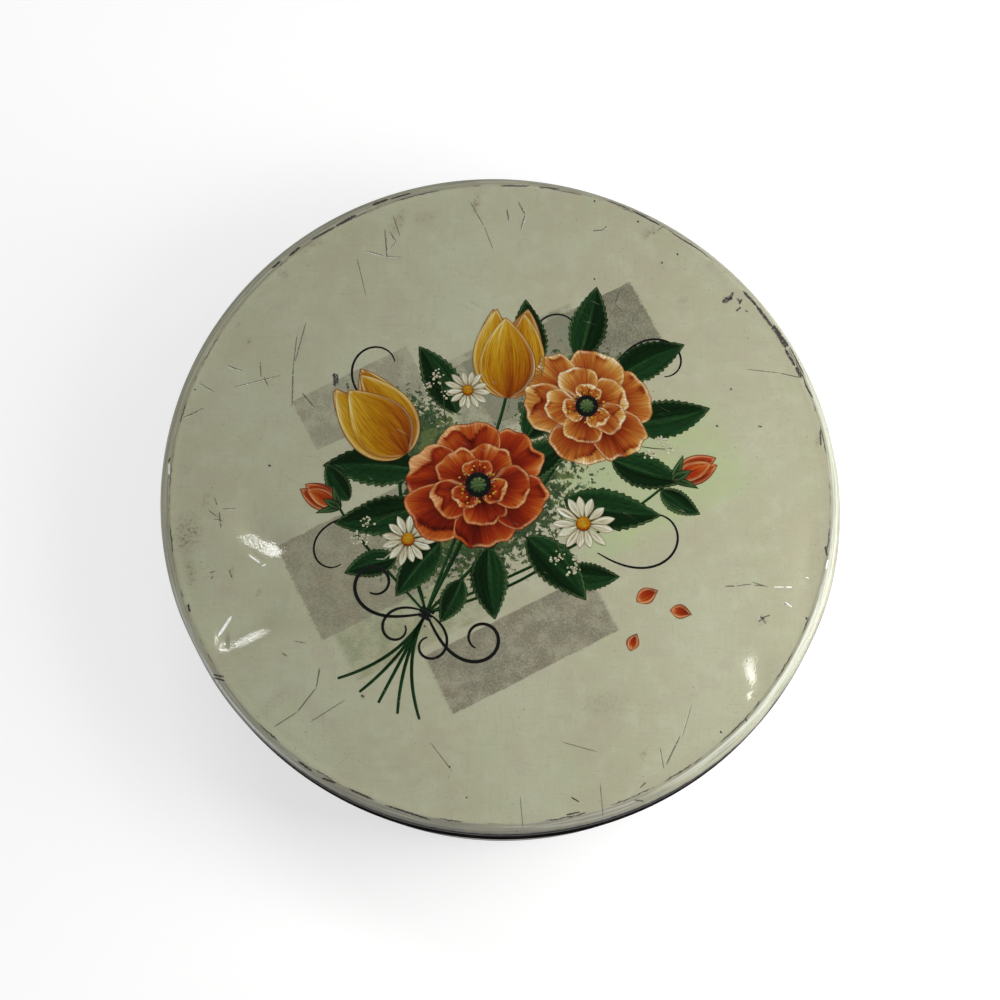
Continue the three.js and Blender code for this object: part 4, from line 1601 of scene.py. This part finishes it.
stems = [
    stem([knot, (-20, -30), (-10, -16), bouquet_hearts["red"]], 1.5, 0),
    stem([knot, (-6, -26), (20, 0), bouquet_hearts["peach"]], 1.4, 0),
    stem([knot, (-34, -20), (-40, 0), (-36, 16)], 1.3, 0),
    stem([knot, (-18, -20), (0, 20), (3, 40)], 1.3, 0),
    stem([knot, (-42, -30), (-54, -18), (-60, -6)], 1.1, 1),
    stem([knot, (0, -34), (38, -20), (64, 4)], 1.1, 1),
    stem([knot, (-4, -40), (18, -34), (30, -14)], 1.1, 1),
    stem([knot, (-30, -36), (-34, -28), (-33, -20)], 1.0, 1),
]
# Below the knot the stems' cut ends spread
stem_ends = ((-59, -71), (-51, -76), (-44, -80), (-37, -84), (-29, -86))
under_knot = (knot[0] - 9, knot[1] - 17)
stems += [stem([knot, under_knot, (x, y)], 1.25, 1) for x, y in stem_ends]
# Each tendril: start, heading, length, first and last curl, width
tendril_routes = (
    ((-44, 30), 150, 46, -1.0, -9.0, 0.85), ((44, 50), 52, 44, -0.6, -10.0, 0.85),
    ((12, 52), 96, 34, -1.0, -10.0, 0.75), ((36, -24), -32, 52, 0.6, 8.0, 0.90),
    ((-56, -10), 196, 34, 1.0, 11.0, 0.75),
)
stems += [tendril(*route, 1) for route in tendril_routes]

# Each leaf: base, heading, length, half width, bow
leaf_places = (
    ((-30, 8), 172, 36, 8.0, 0.10), ((-28, -6), 198, 34, 7.5, -0.12), ((-22, -20), 226, 26, 6.5, 0.10),
    ((-4, -22), 268, 27, 7.0, 0.12), ((10, -18), -42, 32, 7.5, -0.10), ((24, -4), -16, 36, 8.0, 0.12),
    ((42, 12), -24, 28, 6.8, 0.10), ((48, 26), 4, 32, 7.6, 0.12), ((44, 44), 34, 30, 7.2, -0.12),
    ((30, 52), 70, 30, 7.2, 0.10), ((14, 48), 104, 28, 6.6, -0.10), ((-16, 30), 112, 30, 7.0, 0.12),
    ((-30, 22), 140, 30, 7.2, -0.10), ((10, 20), 60, 30, 7.5, 0.05), ((-14, -34), 250, 18, 4.8, -0.1),
    ((-38, -26), 190, 20, 5.2, 0.12), ((22, -32), -8, 22, 5.4, 0.10), ((60, 0), -40, 17, 4.4, 0.12),
    ((-56, -4), 128, 17, 4.4, -0.12), ((4, 6), 30, 26, 7.0, 0.0),
)
leaves = [leaf(*spot, 3 + k % 5) for k, spot in enumerate(leaf_places)]
leaves += blossom((18, -14), -62, 20, 8) + blossom((-20, 22), 98, 24, 8)
leaves += blossom((46, 18), -6, 19, 8) + blossom((-38, -8), 212, 20, 8)
print("stems and tendrils", len(stems), "leaves and blossom", len(leaves))

# %% [markdown]
# The flowers go on last, from the ones behind to the ones in front, each on the layers above the leaves.
# Thin black scrolls spring from the knot, each with its mirror image, as on wrought iron. A few loose petals
# lie beside the spray. Then each list of films becomes one piece that rides on the lid.

# %% Arrange the spray


def mirrored(start, heading, length, first_curl, last_curl, width, layer):
    """A scroll and its mirror image across the spray's own line, which runs through the knot."""
    over = np.array(start) - np.array(knot)
    flipped = 2 * (over @ direction(spray_heading)) * direction(spray_heading) - over + np.array(knot)
    twin = tendril(flipped, 2 * spray_heading - heading, length, -first_curl, -last_curl, width, layer)
    return [tendril(start, heading, length, first_curl, last_curl, width, layer), twin]


tulips = tulip((-35, 14), 128, 37, gold, 9) + tulip((3, 36), 88, 36, gold, 9)
tulips += bud((-59, -7), 150, 17, poppy_red, 9) + bud((64, 4), 22, 19, poppy_red, 9)
poppies = poppy(bouquet_hearts["peach"], 25, peach, 12, (0.88, 60), 10)
poppies += poppy(bouquet_hearts["red"], 28, poppy_red, 40, (0.90, 100), 15)
daisies = daisy((31, -13), 10.5, 10, (0.85, 80), 12) + daisy((-34, -19), 9.5, 0, (0.88, 120), 12)
daisies += daisy((-12, 39), 8.0, 20, (0.85, 70), 12)
loose_petals = (((58, -38), 200, 9), ((70, -47), 160, 8), ((50, -54), 240, 7))
for spot, heading, length in loose_petals:
    tulips.append(painted_blade(spot, heading, length, 0.34 * length, poppy_red, 4, 0.15, 0.55, 0.05))

spray_heading = 62
# Each scroll: how far right and up of the knot it starts, heading, length, first and last curl, width
scroll_routes = ((0, 0, 186, 62, 0.8, -13.5, 1.30), (-1, 1, 160, 34, 1.5, 17.0, 1.05))
scrolls = []
for right, up, heading, length, first_curl, last_curl, width in scroll_routes:
    start = (knot[0] + right, knot[1] + up)
    scrolls += mirrored(start, heading, length, first_curl, last_curl, width, 6)
for step in (-1.5, 0.0, 1.5):
    middle = np.array(knot) + step * direction(spray_heading)
    ends = [middle + side * 2.6 * direction(spray_heading + 90) for side in (-1, 0, 1)]
    grid, _, across = stroke_line(ends, 1.2, 12, 0.1)
    scrolls.append((grid, tint(line_black, 0.3 + 0.3 * across[None, :] + 0 * grid[..., 0]), 7))

# %% [markdown]
# The ink takes its colour from the films' own points, and the brush's hairs show in it as deep and bright
# lines along each film. It lies under the same varnish as the enamel, and the same marks cross it.

# %% Ink of the print
ink_deep, ink_bright = (0.50, 0.34, 0.30), (1.45, 1.75, 2.10)

ink, tree, shader = new_material("lid_print")
pigment = place(tree, "ShaderNodeAttribute", attribute_name="Ink").outputs["Color"]
brush = place(tree, "ShaderNodeAttribute", attribute_name="Brush").outputs["Vector"]
bristle = grains(brush, (8.0, 0.42, 1.0), 3.0, 0.6)
fleck = grains(brush, (2.2, 0.30, 1.0), 2.0, 0.6)
deep, bright = (blend_colour(1.0, pigment, tone, "MULTIPLY") for tone in (ink_deep, ink_bright))
colour = layered(
    pigment,
    (rise(bristle, 0.34, 0.50, 0.70, 0.0), deep),
    (rise(bristle, 0.50, 0.68, 0.0, 0.55), bright),
    (rise(fleck, 0.62, 0.72, 0.0, 0.45), bright),
    (times(rubbed(tree, *first_rubbing), 0.25), cream),
    (times(use_group(tree, lid_scratches)["Mask"], 0.7), cream_pale),
)
fill(shader["Base Color"], colour)
fill(shader["Roughness"], reckon("MULTIPLY_ADD", bristle, 0.16, 0.40))
fill(shader["Coat Weight"], varnish_cover)
fill(shader["Coat Roughness"], varnish_roughness)
fill(shader["Coat IOR"], varnish_index)
fill(shader["Specular IOR Level"], 0.0)
bump(tree, shader, bristle, 0.25, 0.02 * mm)

for name, films in (
    ("print_stems", stems + scrolls),
    ("print_leaves", leaves),
    ("print_tulips", tulips),
    ("print_poppies", poppies),
    ("print_daisies", daisies),
):
    piece = ink_films(name, films)
    piece.data.materials.append(ink)
    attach(piece, "lid")
    print(name, len(films), "films,", len(piece.data.polygons), "faces")

# %% [markdown]
# The light is that of a bright room, from an even world and five lamps. The right and the left one light
# the tin softly, and the rim lamp edges its right side. The dent lamp and the back lamp stand where only
# the walls of the dents can mirror them towards the camera. The floor is white and keeps the tin's shadow,
# and the camera and the reflections see a white world, darker overhead.

# %% Light the tin


def area_lamp(name, place_at, aim, width, depth, power, tone=(1, 1, 1)):
    """A rectangular lamp at a place, facing another."""
    data = bpy.data.lights.new(name, "AREA")
    data.shape = "RECTANGLE"
    data.size, data.size_y = width, depth
    data.energy = power
    data.color = tone
    made = bpy.data.objects.new(name, data)
    made.location = place_at
    made.rotation_euler = (Vector(place_at) - Vector(aim)).to_track_quat("Z", "Y").to_euler()
    bpy.context.scene.collection.objects.link(made)
    return made


warm_white = (1.0, 0.995, 0.98)
# Each lamp: name, place, the point it faces, width, depth, power in watts, and tone if it isn't white
lamps = (
    ("right_lamp", (0.273, -0.08, 0.34), (0.03, 0, 0.05), 0.24, 0.22, 1.08, warm_white),
    ("dent_lamp", (0.43, 0.18, 0.66), (0.095, -0.063, 0.06), 0.16, 0.16, 0.44),
    ("left_lamp", (-0.72, -0.40, 0.10), (-0.10, -0.05, 0.055), 0.32, 0.20, 1.1),
    ("rim_lamp", (0.85, -0.05, 0.22), (0.10, 0, 0.05), 0.40, 0.25, 4.4, warm_white),
    ("back_lamp", (-0.22, 0.66, 1.02), (-0.05, -0.02, 0.06), 0.54, 0.17, 3.1),
)
for lamp in lamps:
    area_lamp(*lamp)


def seen_directly(tree):
    """1 for what the camera, a reflection or glass sees, and 0 for light that falls on surfaces."""
    path = place(tree, "ShaderNodeLightPath").outputs
    return largest(path["Is Camera Ray"], path["Is Glossy Ray"], path["Is Transmission Ray"])


# How bright the white room is for the surfaces that it lights
room_strength = 0.24
world = bpy.data.worlds.new("white_room")
world.use_nodes = True
tree = world.node_tree
tree.nodes.clear()
way_up = axes_of(place(tree, "ShaderNodeTexCoord").outputs["Generated"])["Z"]
overhead = rise(way_up, 0.40, 0.80, 1.0, 0.04)
overhead = largest(overhead, place(tree, "ShaderNodeLightPath").outputs["Is Camera Ray"])
room, white = (
    place(tree, "ShaderNodeBackground", {"Color": (1, 1, 1, 1), "Strength": strength}).outputs[0]
    for strength in (room_strength, overhead)
)
mixed = place(tree, "ShaderNodeMixShader", {0: seen_directly(tree), 1: room, 2: white}).outputs[0]
place(tree, "ShaderNodeOutputWorld", {"Surface": mixed})
bpy.context.scene.world = world

floor_half = 3.0
floor_glow = 0.64
floor_corners = np.array([(-1, -1, 0), (1, -1, 0), (1, 1, 0), (-1, 1, 0)]) * floor_half
floor = add_mesh("floor", floor_corners, [np.array([[0, 1, 2, 3]])])
floor_paint, tree, shader = new_material("white_floor")
fill(shader["Base Color"], (0.46, 0.46, 0.46, 1))
fill(shader["Roughness"], 0.9)
fill(shader["Specular IOR Level"], 0.0)
fill(shader["Emission Color"], (1, 1, 1, 1))
fill(shader["Emission Strength"], times(seen_directly(tree), floor_glow))
floor.data.materials.append(floor_paint)
bpy.context.scene.view_settings.view_transform = "Standard"
